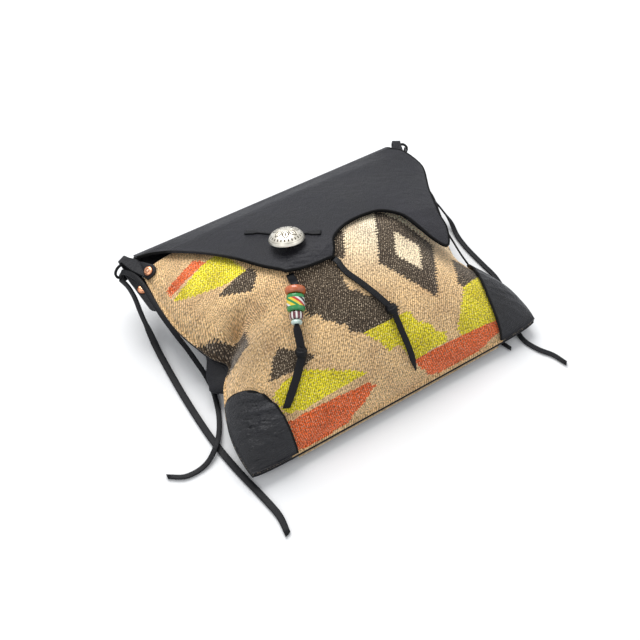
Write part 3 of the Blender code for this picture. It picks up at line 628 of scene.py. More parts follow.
def stripes(tree, bands, slant, turns):
    """Colours that run round a bead in slanted bands, and the height they are read at."""
    split = add_node(tree, "ShaderNodeSeparateXYZ", {0: places(tree, "UV")}).outputs
    around = mathed(tree, "MULTIPLY", split["X"], turns)
    lean = mathed(tree, "MULTIPLY", split["Y"], slant)
    cycle = mathed(tree, "FRACT", mathed(tree, "ADD", around, lean))
    stops = [(position, (*colour, 1)) for position, colour in bands]
    return ramp(tree, cycle, stops, "CONSTANT"), split["Y"]


GREEN, YELLOW, RED = (0.01, 0.26, 0.06), (0.85, 0.62, 0.03), (0.55, 0.03, 0.02)
WHITE, BLACK, MAROON = (0.85, 0.83, 0.78), (0.01, 0.01, 0.015), (0.13, 0.015, 0.03)


def barrel_finish():
    """Slanted stripes in the middle of the barrel bead and a green band at each end."""
    made, tree, shader = glass_material("barrel_glass")
    bands = [(0.0, RED), (0.14, WHITE), (0.26, BLACK), (0.42, WHITE), (0.54, YELLOW),
             (0.72, GREEN), (0.86, YELLOW)]
    colours, height = stripes(tree, bands, 0.9, 2.0)
    middle = ramp(tree, height, [(0.0, grey(0)), (0.25, grey(1)), (0.75, grey(0))], "CONSTANT")
    connect(tree, shader, Base_Color=mixed(tree, middle, (*GREEN, 1), colours))
    return made


def ribbed_finish():
    """Upright white stripes on a maroon bead."""
    made, tree, shader = glass_material("maroon_glass")
    colours = stripes(tree, [(0.0, MAROON), (0.62, WHITE)], 0.0, 9.0)[0]
    connect(tree, shader, Base_Color=colours)
    return made


silver = silver_finish()
orange_glass = glass_finish("orange_glass", (0.52, 0.12, 0.03))
white_glass = glass_finish("white_glass", (0.62, 0.78, 0.7))
barrel_glass = barrel_finish()
maroon_glass = ribbed_finish()

# %% [markdown]
# ## The woven front
# The cloth is one grid with cells of little more than a millimetre. Its pattern is a list of
# plain shapes in pouch millimetres. Each face takes the colour of the shape it lies in, and
# every second row of faces is shifted a little, which gives the slanting sides their teeth.

# %% The pattern of the cloth
TAN, LIME = (0.76, 0.5, 0.245), (0.8, 0.68, 0.018)
ORANGE, BROWN = (0.8, 0.135, 0.028), (0.06, 0.042, 0.026)
CREAM, HIDDEN = (1.0, 0.88, 0.64), (0.012, 0.012, 0.014)
MOTIFS = [
    (ORANGE, [(-124, 170), (-124, 162), (-86, 168), (-93, 178)]),
    (LIME, [(-124, 157), (-88, 168), (-70, 170), (-66, 135), (-85, 134), (-110, 146)]),
    (BROWN, [(-96, 130), (-62, 136), (-60, 126), (-72, 113), (-84, 121)]),
    (BROWN, [(-40, 112), (0, 104), (-4, 91), (-6, 72), (0, 70), (2, 64), (17, 55), (24, 46),
             (22, 40), (-13, 40), (-22, 45), (-22, 51), (-29, 53), (-30, 57), (-38, 61),
             (-38, 67), (-47, 69)]),
    (BROWN, [(16, 128), (20, 121), (6, 97), (-4, 101)]),
    (BROWN, [(58, 133), (29, 81), (61, 40), (88, 86)]),
    (TAN, [(59, 104), (47, 83), (61, 64), (73, 86)]),
    (BROWN, [(98, 72), (116, 58), (116, 50), (105, 46), (88, 41), (86, 47), (92, 58)]),
    (LIME, [(116, 50), (105, 46), (89, 41), (82, 33), (66, 16), (68, 12), (110, 12)]),
    (LIME, [(-13, 40), (31, 40), (34, 32), (44, 26), (46, 21), (54, 18), (54, 13), (19, 12),
            (12, 24), (2, 23), (-3, 31)]),
    (ORANGE, [(19, 12), (110, 12), (110, 6), (94, 4), (86, 3), (64, 2), (32, 3), (24, 7)]),
    (LIME, [(-88, 40), (-72, 40), (-22, 18), (-45, 18), (-81, 18), (-97, 22), (-100, 36)]),
    (ORANGE, [(-98, 17), (-24, 13), (-20, 10), (-32, 6), (-52, 2.5), (-73, 1.5), (-98, 2)]),
    (BROWN, [(-78, 63), (-70, 55), (-56, 43), (-70, 41), (-97, 46), (-87, 58)]),
    (BROWN, [(-130, 126), (-114, 78), (-94, 82), (-90, 96), (-95, 99), (-102, 97)]),
]
TOOTH = 1.6                  # mm that every second row of the weave reaches further
TOOTH_PITCH = 2.4            # mm from one tooth to the next


def inside(x, y, corners):
    """Whether a point lies inside a shape, by how often a line from it crosses the outline."""
    odd = False
    for (ax, ay), (bx, by) in zip(corners, corners[1:] + corners[:1]):
        if (ay > y) != (by > y) and x < ax + (bx - ax) * (y - ay) / (by - ay):
            odd = not odd
    return odd


def weave_colour(x, y):
    """Colour of the cloth at a place in pouch millimetres, with painted light: a highlight
    near the crest and shade in the hollow below the left crease.
    """
    row = int(y / TOOTH_PITCH * 2)
    ragged = rough(x * 0.12, row * 3.7, 0) * 1.2
    x += TOOTH * (row % 2) + ragged
    # Painted light on the cloth: a painted highlight near the crest, and painted shade in the hollow below
    # the left crease.
    painted_crest_highlight = bell(x - 62, 62) * bell(y - 116, 34)
    painted_light_and_shade = bell(x + 92, 22) * bell(y - 72, 26)
    colour = Vector(TAN).lerp(Vector(CREAM), painted_crest_highlight) * (1 - 0.36 * painted_light_and_shade)
    for dye, corners in MOTIFS:
        if inside(x, y, corners):
            colour = Vector(CREAM).lerp(Vector(TAN), 0.3) if dye == TAN else dye
    return colour


def under_patch(x, y):
    """Whether a place of the cloth, in metres, is well under one of the corner patches."""
    return y < 0.052 and abs(x) > 0.105 + 0.4 * y


# %% [markdown]
# The filled cloth isn't smooth: it swells in slow waves, and close to its seams it puckers in
# short ripples, because the seam is shorter than the cloth sewn to it. Both are small moves of
# the grid. Noise from mathutils gives the same result on each run.

# %% The front cloth
CELL, CLOTH_THICKNESS = 0.00125, 0.0016
SWELL, PUCKER, PUCKER_WIDTH, PUCKER_PITCH = 0.0014, 0.0008, 0.016, 0.013


def cloth_waves(x, y):
    """How far the filled cloth stands off its smooth form."""
    edge = min(half_width(y, x) - abs(x), y)
    fade = share(edge, SEAM_FLANGE, 0.02)
    slow = rough(x * 26, y * 26, 2.0) * SWELL
    along = y if half_width(y, x) - abs(x) < y else x
    ripple = sin(along * 2 * pi / PUCKER_PITCH + 2 * rough(x * 40, y * 40, 9))
    near = bell(edge - 0.007, PUCKER_WIDTH)
    return (slow + PUCKER * ripple * near) * fade


def cloth_height(x, y):
    inner = share(front_height(x, y) - seam_height(x, y), 0.002, 0.03)
    deeper = 1.4 * CREASE_DEPTH * (crease(x, y) / CREASE_DEPTH) ** 5 + 0.25 * crease(x, y)
    return front_height(x, y) + cloth_waves(x, y) - deeper * inner


def front_cloth():
    row_places = spread(190, lambda v: Vector((0, v * MOUTH_Y, front_height(0, v * MOUTH_Y))))
    half_places = spread(122, lambda u: Vector((u * BAG_WIDTH / 2, 0,
                                                front_height(u * 0.137, CREST_Y))))
    columns = [-p for p in reversed(half_places[1:])] + half_places
    width, rows = len(columns) - 1, len(row_places) - 1

    def place(u, v):
        y = row_places[round(v * rows)] * MOUTH_Y
        x = columns[round(u * width)] * half_width(y, u - 0.5)
        return rounded(x, y, cloth_height)
    bm = bent_grid(width, rows, place)
    layer = bm.loops.layers.uv.verify()
    dye = bm.loops.layers.float_color.new("weave")
    for face in bm.faces:
        middle = face.calc_center_median() * 1000
        hidden = under_patch(middle.x / 1000, middle.y / 1000)
        colour = (*(HIDDEN if hidden else weave_colour(middle.x, middle.y)), 1)
        for loop in face.loops:
            loop[dye] = colour
            u, v = loop[layer].uv
            loop[layer].uv = ((u - 0.5) * width * CELL, v * rows * CELL)
    bmesh.ops.translate(bm, verts=bm.verts, vec=(0, -CENTRE_Y, 0))
    piece = add_piece("front_cloth", bm, wool, "wool", "bag", ["front_panel"],
                      wall=CLOTH_THICKNESS)
    print("front cloth faces:", len(piece.data.polygons))


front_cloth()

# %% [markdown]
# ## The leather back
# The back is a plain hide that meets the cloth at the seam. It is flat where the pouch lies on
# it and curved everywhere else.

# %% The back
def back_waves(x, y):
    lift = rough(x * 30, y * 30, 5.0) * 0.0008
    return lift * share(back_height(x, y), 0.001, 0.01) * share(y, 0.003, 0.02)


def back_hide():
    def height(x, y):
        return max(0.0, back_height(x, y) + back_waves(x, y))

    def place(u, v):
        y = v ** 1.3 * BAG_DEPTH
        side = 2 * u - 1
        x = (1 - (1 - abs(side)) ** 1.4) * half_width(y, side) * (1 if side > 0 else -1)
        point = rounded(x, y, height)
        point.x -= belly(*point)
        return in_frame(point)
    bm = bent_grid(120, 90, place, flip=True)
    piece = add_piece("back_hide", bm, hide_leather, "leather", "bag", ["back_panel"],
                      wall=LEATHER_THICKNESS)


back_hide()

# %% [markdown]
# ## The corner patches
# Each bottom corner of the cloth is covered by a leather patch with a curved inner edge. The
# leather bunches into cross wrinkles where it is pulled round the corner.

# %% The patches
PATCH_WIDTHS, PATCH_STRAIGHT, PATCH_TIP_WIDTH = {-1: 0.0455, 1: 0.042}, 0.01, 0.0045
PATCH_HEIGHTS, PATCH_CURVES = {-1: 0.061, 1: 0.07}, {-1: 2.7, 1: 2.0}
PATCH_GAP, PATCH_THICKNESS = 0.0013, 0.0012
WRINKLES = {-1: 0.0015, 1: 0.0007}
PATCH_RIM = 0.0028           # width of the dark edge band: cut edge and painted shade


def patch_width(y, side):
    height = PATCH_HEIGHTS[side]
    rise = share(y, PATCH_STRAIGHT, height) ** PATCH_CURVES[side]
    inner = BAG_WIDTH / 2 - PATCH_WIDTHS[side]
    edge = inner + (half_width(height, side) - PATCH_TIP_WIDTH - inner) * rise
    return half_width(y, side) - edge


def patch_height(x, y):
    """The hide bunches into wrinkles that run across the corner, with one long fold."""
    side = -1 if x < 0 else 1
    along, across = 0.85 * x - 0.53 * y, 0.53 * x + 0.85 * y
    fine = ridged(rough(along * 110, across * 360, 3.0))
    fold = ridged(rough(along * 30, across * 130, 3.0))
    fold = (fold + 0.45 * fine) * WRINKLES[side]
    broad = rough(x * 40, y * 40, 8.0) * 0.0012
    if side < 0:
        start, run = Vector((-0.104, 0.034)), Vector((-0.03, -0.022))
        part = share((Vector((x, y)) - start).dot(run) / run.length_squared, 0, 1)
        off = (Vector((x, y)) - start).cross(run.normalized())
        broad += 0.0022 * sin(pi * part) * bell(max(off / 0.0025, -off / 0.01), 1)
    inner = share(half_width(y, x) - abs(x), 0.003, 0.012) * share(y, 0.003, 0.012)
    return (front_height(x, y, SEAM_FLANGE - PATCH_GAP) + PATCH_GAP
            + max(0.0, fold + broad) * inner)


def corner_patch(word, side):
    def place(u, v):
        y = v ** 1.5 * PATCH_HEIGHTS[side]
        inwards = (1 - u if side > 0 else u) ** 1.5 * patch_width(y, side)
        x = side * (half_width(y, side) - inwards)
        return in_frame(rounded(x, y, patch_height))
    bm = bent_grid(100, 130, place)
    layer = bm.loops.layers.uv.verify()
    # The attribute for the dark edge band: the cut edge's colour with painted shade.
    rim = bm.verts.layers.float.new("from_edge")
    for face in bm.faces:
        for loop in face.loops:
            u, v = loop[layer].uv
            y = v ** 1.5 * PATCH_HEIGHTS[side]
            left = patch_width(y, side) * (1 - (1 - u if side > 0 else u) ** 1.5)
            loop.vert[rim] = min(1.0, left / PATCH_RIM)
    piece = add_piece("patch_" + word, bm, patch_leather, "leather", "bag",
                      ["corner_patch_" + word], wall=PATCH_THICKNESS, offset=1.0, bevel=0.0003)


corner_patch("left", -1)
corner_patch("right", 1)

# %% [markdown]
# ## The seam
# A thin welt of the same wool shows under the bottom seam, below a dark groove. It is a small
# cross-section swept along a smooth route, and so are all the laces further on.

# %% The welt of the seam
OVAL_POINTS = 12
WELT_HALF_LENGTH, WELT_WIDTH, WELT_THICKNESS, WELT_DROP = 0.1, 0.0018, 0.0012, 0.0022


def smooth_route(points, step, closed=False):
    """Points about a step apart along a smooth curve through the given ones."""
    points = [Vector(p) for p in points]
    if closed:
        ends = [points[-1]] + points + points[:2]
    else:
        ends = [points[0] * 2 - points[1]] + points + [points[-1] * 2 - points[-2]]
    route = []
    for before, start, end, after in zip(ends, ends[1:], ends[2:], ends[3:]):
        count = max(1, round((end - start).length / step))
        for i in range(count):
            t = i / count
            route.append(0.5 * (2 * start + (end - before) * t
                                + (2 * before - 5 * start + 4 * end - after) * t ** 2
                                + (3 * start - before - 3 * end + after) * t ** 3))
    return route if closed else route + [points[-1]]


def frames_along(route, ups, closed=False):
    """For each point of a route, the way across it and the way up from it."""
    made = []
    for i, point in enumerate(route):
        before = route[i - 1] if i or closed else point
        after = route[(i + 1) % len(route)] if i + 1 < len(route) or closed else point
        along = (after - before).normalized()
        up = (ups[i] - along * ups[i].dot(along)).normalized()
        made.append((along.cross(up), up))
    return made


def swept(route, ups, outline, closed=False, taper=None, slant=0.0):
    """A bmesh tube whose cross-section is the outline, a list of (across, up) pairs.

    The slant pushes one side of the last ring outwards, so the strip ends in a slanting cut.
    """
    sides = frames_along(route, ups, closed)
    reach = max(a for a, b in outline)
    count = len(route) if closed else len(route) - 1
    turns = len(outline)

    def place(u, v):
        i = round(v * count) % len(route) if closed else round(v * count)
        across, up = sides[i]
        a, b = outline[round(u * turns) % turns]
        size = taper(v) if taper else 1.0
        cut = Vector((0, 0, 0))
        if slant and i == len(route) - 1:
            cut = (route[-1] - route[-2]).normalized() * (slant * (a + reach))
        return route[i] + across * a * size + up * b + cut
    bm = bent_grid(turns, count, place, closed_rows=True)
    if not closed:
        bmesh.ops.holes_fill(bm, edges=[e for e in bm.edges if e.is_boundary], sides=0)
    bmesh.ops.recalc_face_normals(bm, faces=bm.faces)
    return bm


def oval(width, thickness, squareness=0.6):
    """A cross-section between an oval and a rectangle."""
    points = []
    for i in range(OVAL_POINTS):
        angle = 2 * pi * i / OVAL_POINTS
        a, b = cos(angle), sin(angle)
        points.append((width / 2 * abs(a) ** squareness * (1 if a > 0 else -1),
                       thickness / 2 * abs(b) ** squareness * (1 if b > 0 else -1)))
    return points


def seam_welt():
    xs = [(i / 40 * 2 - 1) * WELT_HALF_LENGTH for i in range(41)]
    route = [in_frame((x, -0.0003, BOTTOM_SEAM_HEIGHT - WELT_DROP)) for x in xs]
    bm = swept(route, [Vector((0, 0, 1))] * len(route), oval(WELT_WIDTH, WELT_THICKNESS))
    made, tree, shader = start_material("welt_wool", 0.9)
    thread = clouds(tree, places(tree), 700.0, 2.0)
    connect(tree, shader, Base_Color=ramp(tree, thread, [(0.3, (0.4, 0.28, 0.16, 1)),
                                                         (0.7, (0.8, 0.6, 0.36, 1))]))
    add_piece("seam_welt", bm, made, "wool", "bag")


seam_welt()

# %% [markdown]
# ## The flap
# The flap is one thick hide that folds over the ridge. It starts as a grid too: its rows run
# from the ridge to the free edge, and its columns follow the curves of that edge. Solidify
# gives it its cut edge.

# %% The flap
HINGE_Y, HINGE_DROP, HINGE_GAP = BAG_DEPTH + 0.0015, 0.004, 0.0003
FLAP_BEND_OUT, FLAP_BEND_RISE = 0.0002, 0.0026
FLAP_SINK, FLAP_CURL = 0.0018, 0.0028
FLAP_RIM = 0.003            # width of the dark edge band: cut edge and painted shade
FLAP_LEFT_EDGE = [
    (-0.99, 0.965), (-0.87, 0.936), (-0.69, 0.822), (-0.545, 0.694), (-0.44, 0.571),
    (-0.341, 0.489)]
FLAP_TONGUE_EDGE = [(-0.341, 0.489), (-0.205, 0.466), (-0.03, 0.457)]
FLAP_RIGHT_EDGE = [
    (-0.03, 0.457), (0.008, 0.484), (0.061, 0.534), (0.18, 0.571), (0.32, 0.58), (0.447, 0.566),
    (0.553, 0.493), (0.629, 0.374), (0.705, 0.333), (0.788, 0.411), (0.811, 0.489), (0.909, 0.626),
    (1.045, 0.767), (1.076, 0.836), (1.045, 0.927), (0.99, 0.965)]


def flap_edge():
    edge = []
    for stretch in (FLAP_LEFT_EDGE, FLAP_TONGUE_EDGE, FLAP_RIGHT_EDGE):
        spots = [Vector((u * TOP_WIDTH / 2, v * BAG_DEPTH)) for u, v in stretch]
        edge += smooth_route(spots, 0.001)[:-1]
    return edge + [spots[-1]]


def hide_waves(x, y):
    """Slow swells of the hide, and the fine wrinkles of the tongue where the laces pull."""
    slow = rough(x * 18, y * 18, 7.0) * 0.0008
    tongue = bell(x + 0.022, 0.026) * bell(y - 0.112, 0.014)
    along, across = 0.85 * x - 0.53 * y, 0.53 * x + 0.85 * y
    fine = ridged(rough(along * 80, across * 260, 1.0))
    return slow + (fine * 0.0012 + rough(x * 260, y * 260, 4.0) * 0.0005) * tongue


def sink(x, y):
    """The soft hide lies lower than its stiff stand-in, just below the fold."""
    return FLAP_SINK * share(y, MOUTH_Y - 0.004, FLAP_FLAT_Y) * share(0.125 - abs(x), 0, 0.04)


def painted_flap_highlight(x, y):
    """How strong the painted highlight on the hide is: most on the tongue and on the ear."""
    tongue = bell(x + 0.02, 0.034) * bell(y - 0.112, 0.02)
    ear = bell(x - 0.09, 0.026) * bell(y - 0.092, 0.03)
    return min(1.0, 0.75 * tongue + ear)


def flap_hide():
    edge = flap_edge()
    left, right = edge[0].x, edge[-1].x
    bend_share = 0.12

    def place(u, v):
        along = u * (len(edge) - 1)
        first = min(int(along), len(edge) - 2)
        free = edge[first].lerp(edge[first + 1], along - first)
        x = left + (right - left) * u
        if v <= bend_share:
            t = v / bend_share
            start = Vector((x, HINGE_Y, seam_height(x, BAG_DEPTH) - HINGE_DROP
                            + LEATHER_THICKNESS / 2 + HINGE_GAP))
            end = Vector((x, FLAP_FLAT_Y, flap_height(x, FLAP_FLAT_Y) - sink(x, FLAP_FLAT_Y)))
            out = start + Vector((0, FLAP_BEND_OUT, FLAP_BEND_RISE))
            point = start.lerp(out, t).lerp(out.lerp(end, t), t)
        else:
            t = (v - bend_share) / (1 - bend_share)
            spot = Vector((x, FLAP_FLAT_Y)).lerp(free, t)
            height = flap_height(*spot) - sink(*spot)
            curl = FLAP_CURL * bell(spot.x + 0.092, 0.026) * t ** 3
            point = Vector((*spot, height + curl + hide_waves(*spot) * share(t, 0, 0.2)))
        return in_frame(point)
    bm = bent_grid(300, 130, place, flip=True)
    outline = kdtree.KDTree(len(edge))
    for index, spot in enumerate(edge):
        outline.insert(in_frame((*spot, flap_height(*spot))), index)
    outline.balance()
    # The dark edge band, partly painted shade, and the painted highlight of the tongue and the ear.
    paint(bm, "from_edge", lambda co: min(1.0, outline.find(co)[2] / FLAP_RIM))
    paint(bm, "painted_light_and_shade", lambda co: painted_flap_highlight(co.x, co.y + CENTRE_Y))
    piece = add_piece("flap_hide", bm, flap_leather, "leather", None, ["flap"],
                      wall=LEATHER_THICKNESS, offset=0.0, bevel=0.0004)
    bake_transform(piece, "bag", "flap", start=(0, 0.2215 - CENTRE_Y, 0.0445),
             end=(0.0005, 0.2135 - CENTRE_Y, 0.0555))


flap_hide()

# %% [markdown]
# ## The button and its lace
# The button is a domed shell of silver with a stamped flower: long petals run out from the top,
# and small dents stand in a ring near the rim. It is spun from a profile, and the stamping is a
# move of its vertices. A flat lace runs below it, as if it came up through two slits.

# %% The button
CONCHO_PLACE, CONCHO_TILT, CONCHO_LEAN = (-0.0277, 0.1322), 12.0, (0.75, 0.66)
CONCHO_RADIUS, CONCHO_HEIGHT, CONCHO_WALL = 0.015, 0.0092, 0.0012
CONCHO_LACE = [(-0.046, 0.172), (-0.04, 0.166), (-0.0238, 0.145), (-0.006, 0.132),
               (0.001, 0.127)]
CONCHO_LACE_WIDTH, CONCHO_LACE_THICKNESS, CONCHO_LACE_LIFT = 0.0058, 0.0014, 0.002
PETALS, DENTS, STAMP_DEPTH = 7, 26, 0.0003


def stamped(radius, angle):
    """How deep the stamps press the dome in at a place, as a share of the deepest groove."""
    out = radius / CONCHO_RADIUS
    petal = abs(((angle * PETALS / (2 * pi)) % 1.0) - 0.5) * 2
    leaf = 0.8 * sin(pi * share(out, 0.16, 0.74))
    outline = bell(petal - leaf, 0.15) * share(out, 0.2, 0.3)
    outline *= share(0.76 - out, 0.0, 0.03)
    vein = bell(petal, 0.12) * share(out, 0.36, 0.42) * share(0.64 - out, 0.0, 0.05)
    groove = 0.35 * bell(out - 0.95, 0.014)
    dent = exp(-((out - 0.85) / 0.05) ** 4) * share(sin(angle * DENTS), 0.35, 0.75)
    return min(1.0, outline + vein + groove + dent)


def concho_turn():
    x, y = CONCHO_PLACE
    tilt = radians(CONCHO_TILT)
    lift = (LEATHER_THICKNESS / 2 + 0.0005 + CONCHO_LACE_THICKNESS + 0.0003
            + CONCHO_RADIUS * sin(tilt))
    across = Vector((-CONCHO_LEAN[1], CONCHO_LEAN[0], 0))
    tilted = Matrix.Rotation(tilt, 3, across) @ normal_of(flap_height, x, y)
    centre = in_frame(on_surface(flap_height, x, y, lift))
    return Matrix.Translation(centre) @ tilted.to_track_quat("Z", "Y").to_matrix().to_4x4()


def concho():
    profile = [(CONCHO_RADIUS * cos(radians(a)), CONCHO_HEIGHT * sin(radians(a)))
               for a in [i * 90 / 70 for i in range(70)]] + [(0.0, CONCHO_HEIGHT)]
    bm = turned(profile, 240)
    paint(bm, "stamping", lambda co: stamped(hypot(co.x, co.y), atan2(co.y, co.x)))
    layer = bm.verts.layers.float["stamping"]
    for vert in bm.verts:
        vert.co.z -= STAMP_DEPTH * vert[layer]
    bm.transform(concho_turn())
    piece = add_piece("silver_button", bm, silver, "silver", "flap", ["concho"],
                      wall=CONCHO_WALL, bevel=0.0002)
    print("button faces:", len(piece.data.polygons))


concho()


def concho_lace():
    flat_route = smooth_route(CONCHO_LACE, 0.0015)
    route = [in_frame(on_surface(flap_height, *p, CONCHO_LACE_LIFT)) for p in flat_route]
    ups = [normal_of(flap_height, *p) for p in flat_route]

    def width(v):
        return 1.0 - 0.56 * share(min(v, 1 - v), 0.12, 0.17)
    outline = oval(CONCHO_LACE_WIDTH, CONCHO_LACE_THICKNESS, squareness=0.3)
    bm = swept(route, ups, outline, taper=width)
    add_piece("button_lace", bm, lace_leather, "lace_leather", "flap", ["concho_lace"])


concho_lace()

# %% [markdown]
# ## Laces
# A lace is a flat strip of leather. It is a thin section swept along its route, and the way it
# faces is given for each point, so that it lies flat where something carries it. Its end is cut
# at a slant.

# %% The laces
LACE_THICKNESS, BAND_THICKNESS, LACE_SLANT = 0.0016, 0.0022, 0.45


def lace(name, route, ups, width, body, stands_for, tail=0.85, narrow=None):
    """A free lace. Where narrow says so, it is folded in, as inside the beads."""
    folded = [1.0 if narrow is None else narrow(point) for point in route]
    count = len(route) - 1

    def taper(v):
        return folded[round(v * count)] * (1.0 - (1.0 - tail) * share(v, 0.93, 1.0))
    outline = oval(width, LACE_THICKNESS, squareness=0.35)
    bm = swept(route, ups, outline, taper=taper, slant=LACE_SLANT)
    piece = add_piece(name, bm, lace_leather, "lace_leather", body, stands_for)


def band(centre, axis, radius, width, tilt):
    """A tilted turn of lace round a cord."""
    turn = axis.to_track_quat("Z", "Y").to_matrix() @ Euler(tilt).to_matrix()
    angles = [2 * pi * i / 28 for i in range(28)]
    ups = [turn @ Vector((cos(a), sin(a), 0)) for a in angles]
    route = [centre + up * radius for up in ups]
    return swept(route, ups, oval(width, BAND_THICKNESS, squareness=0.5), closed=True)


def knot(name, centre, axis, radius, width, body, stands_for):
    """Three slanted turns of lace pulled tight, which together look like a tied knot."""
    along = axis.normalized()
    bm = band(centre, axis, radius, width, (0.55, 0.0, 0.0))
    turns = [band(centre + along * 0.001, axis, radius * 0.96, width * 0.9, (-0.62, 0.35, 0.0)),
             band(centre - along * 0.0014, axis, radius * 0.9, width * 0.8, (0.25, -0.6, 0.0))]
    for turn in turns:
        mesh = bpy.data.meshes.new("turn")
        turn.to_mesh(mesh)
        turn.free()
        bm.from_mesh(mesh)
        bpy.data.meshes.remove(mesh)
    return add_piece(name, bm, lace_leather, "lace_leather", body, stands_for, smooth_levels=1)


# %% [markdown]
# The two tongue laces start at the tips of the flap's tongue and lie down over the cloth. The
# left one carries four beads. Their places are worked out along a straight stretch of lace.

# %% The tongue laces and the beads
LACE_RADIUS, CLEARANCE, BEAD_BORE_GAP = 0.0016, 0.0003, 0.0005
TONGUE_KNOT, RING_KNOT = (0.0037, 0.0054), (0.0029, 0.0046)      # radius and width of a turn
LEFT_TONGUE_WIDTH, RIGHT_TONGUE_WIDTH = 0.0066, 0.0052
STACK_TOP, STACK_BOTTOM, LACE_LEAD = (-0.0445, 0.0925, 0.01), (-0.06, 0.0655, 0.0094), 0.0025
RIGHT_KNOT_AT = 5            # which point of the right lace its knot lies at
LEFT_TONGUE_START = [(-0.0419, 0.1062, 0.001), (-0.0425, 0.102, 0.0022)]
LEFT_TONGUE_END = [
    (-0.066, 0.05, 0.006), (-0.072, 0.043, 0.004), (-0.079, 0.037, 0.0026),
    (-0.087, 0.031, 0.0022), (-0.0945, 0.0258, 0.0022)]
RIGHT_TONGUE = [
    (-0.0042, 0.1006, 0.001), (-0.003, 0.0965, 0.0022), (-0.002, 0.086, 0.0022),
    (0.005, 0.071, 0.0024), (0.011, 0.057, 0.0042), (0.015, 0.046, 0.006),
    (0.016, 0.038, 0.004), (0.0165, 0.029, 0.0024), (0.017, 0.019, 0.0022),
    (0.017, 0.009, 0.0022)]
BEADS = [("disc_bead", orange_glass, "orange_glass", 0.0083, 0.0063, 0.0022),
         ("barrel_bead", barrel_glass, "green_glass", 0.0072, 0.014, 0.0018),
         ("striped_bead", maroon_glass, "maroon_glass", 0.0053, 0.0063, 0.0012),
         ("seed_bead", white_glass, "white_glass", 0.0045, 0.0036, 0.0015)]


def bead(name, finish, slot, start, direction, radius, length, ease):
    """A bead spun round its own lace, with rounded ends."""
    bore = LACE_RADIUS + BEAD_BORE_GAP
    arc = [radians(a) for a in range(0, 91, 15)]
    top = [(radius - ease + ease * sin(a), length - ease * (1 - cos(a))) for a in arc]
    middle = [(radius * (1 + 0.03 * sin(pi * t)), ease + (length - 2 * ease) * (1 - t))
              for t in (0.25, 0.5, 0.75)]
    bottom = [(r, length - z) for r, z in reversed(top)]
    profile = [(bore, 0.0005), (bore, length - 0.0005), (bore + 0.0004, length)] + top + middle
    profile += bottom + [(bore + 0.0004, 0.0), (bore, 0.0005)]
    bm = turned(profile, 56, uv_height=length)
    turn = (-direction).to_track_quat("Z", "Y").to_matrix().to_4x4()
    bm.transform(Matrix.Translation(in_frame(start + direction * length)) @ turn)
    return add_piece("glass_" + name, bm, finish, slot, "flap", [name])


def tongue_laces():
    top = on_surface(front_height, *STACK_TOP)
    bottom = on_surface(front_height, *STACK_BOTTOM)
    down = (bottom - top).normalized()
    beads, start = [], top
    for name, finish, slot, radius, length, ease in BEADS:
        beads.append(bead(name, finish, slot, start, down, radius, length, ease))
        start = start + down * (length + CLEARANCE)
    straight = [top - down * LACE_LEAD, top, top.lerp(start, 0.5), start,
                start + down * LACE_LEAD]
    left = ([on_surface(front_height, *p) for p in LEFT_TONGUE_START] + straight
            + [on_surface(front_height, *p) for p in LEFT_TONGUE_END])
    right = [on_surface(front_height, *p) for p in RIGHT_TONGUE]
    knots = [("left", left, len(straight) + len(LEFT_TONGUE_START), LEFT_TONGUE_WIDTH),
             ("right", right, RIGHT_KNOT_AT, RIGHT_TONGUE_WIDTH)]
    stack = (start - top).length

    def in_beads(point):
        """0.55 inside the beads and 1 a little way off them."""
        past = (point - in_frame(top)).dot(down)
        outside = max(-past, past - stack)
        return 0.55 + 0.45 * share(outside, 0.0005, 0.004)
    for word, points, at, width in knots:
        axis = points[at + 1] - points[at - 1]
        tied = knot("knot_" + word, in_frame(points[at]), axis, *TONGUE_KNOT, "flap",
                    ["tongue_knot_" + word])
        route = smooth_route(points, 0.002)
        ups = [normal_of(front_height, p.x, p.y) for p in route]
        lace("tongue_strip_" + word, [in_frame(p) for p in route], ups, width, "flap",
             ["tongue_lace_" + word],
             narrow=in_beads if word == "left" else None, tail=0.85 if word == "left" else 0.3)


tongue_laces()

# %% [markdown]
# The side laces hang from the lace ring of each ridge corner and run down to the floor. The last
# number of each says how far its face is turned to the side, and not up, while it hangs.

# %% The side laces
LEFT_LONG_LACE = [
    (-0.1494, 0.2098, 0.0432), (-0.1465, 0.204, 0.038), (-0.145, 0.197, 0.029),
    (-0.1455, 0.187, 0.017), (-0.1465, 0.17, 0.008), (-0.148, 0.151, 0.003),
    (-0.15, 0.111, 0.002), (-0.1505, 0.081, 0.002), (-0.15, 0.055, 0.002), (-0.148, 0.032, 0.002),
    (-0.145, 0.011, 0.002), (-0.141, -0.011, 0.002), (-0.138, -0.033, 0.002),
    (-0.14, -0.049, 0.002)]
LEFT_SHORT_LACE = [
    (-0.147, 0.211, 0.0515), (-0.1437, 0.2025, 0.0565), (-0.1415, 0.194, 0.0595),
    (-0.1405, 0.1862, 0.0608), (-0.14, 0.1772, 0.0602), (-0.1402, 0.1642, 0.0587),
    (-0.1395, 0.148, 0.0552), (-0.137, 0.1328, 0.0475), (-0.1323, 0.1235, 0.0325),
    (-0.1288, 0.1155, 0.019), (-0.1265, 0.106, 0.009), (-0.127, 0.094, 0.003),
    (-0.133, 0.074, 0.002), (-0.141, 0.058, 0.0035), (-0.15, 0.046, 0.006),
    (-0.161, 0.038, 0.0035), (-0.172, 0.035, 0.002), (-0.185, 0.036, 0.002), (-0.196, 0.043, 0.002)]
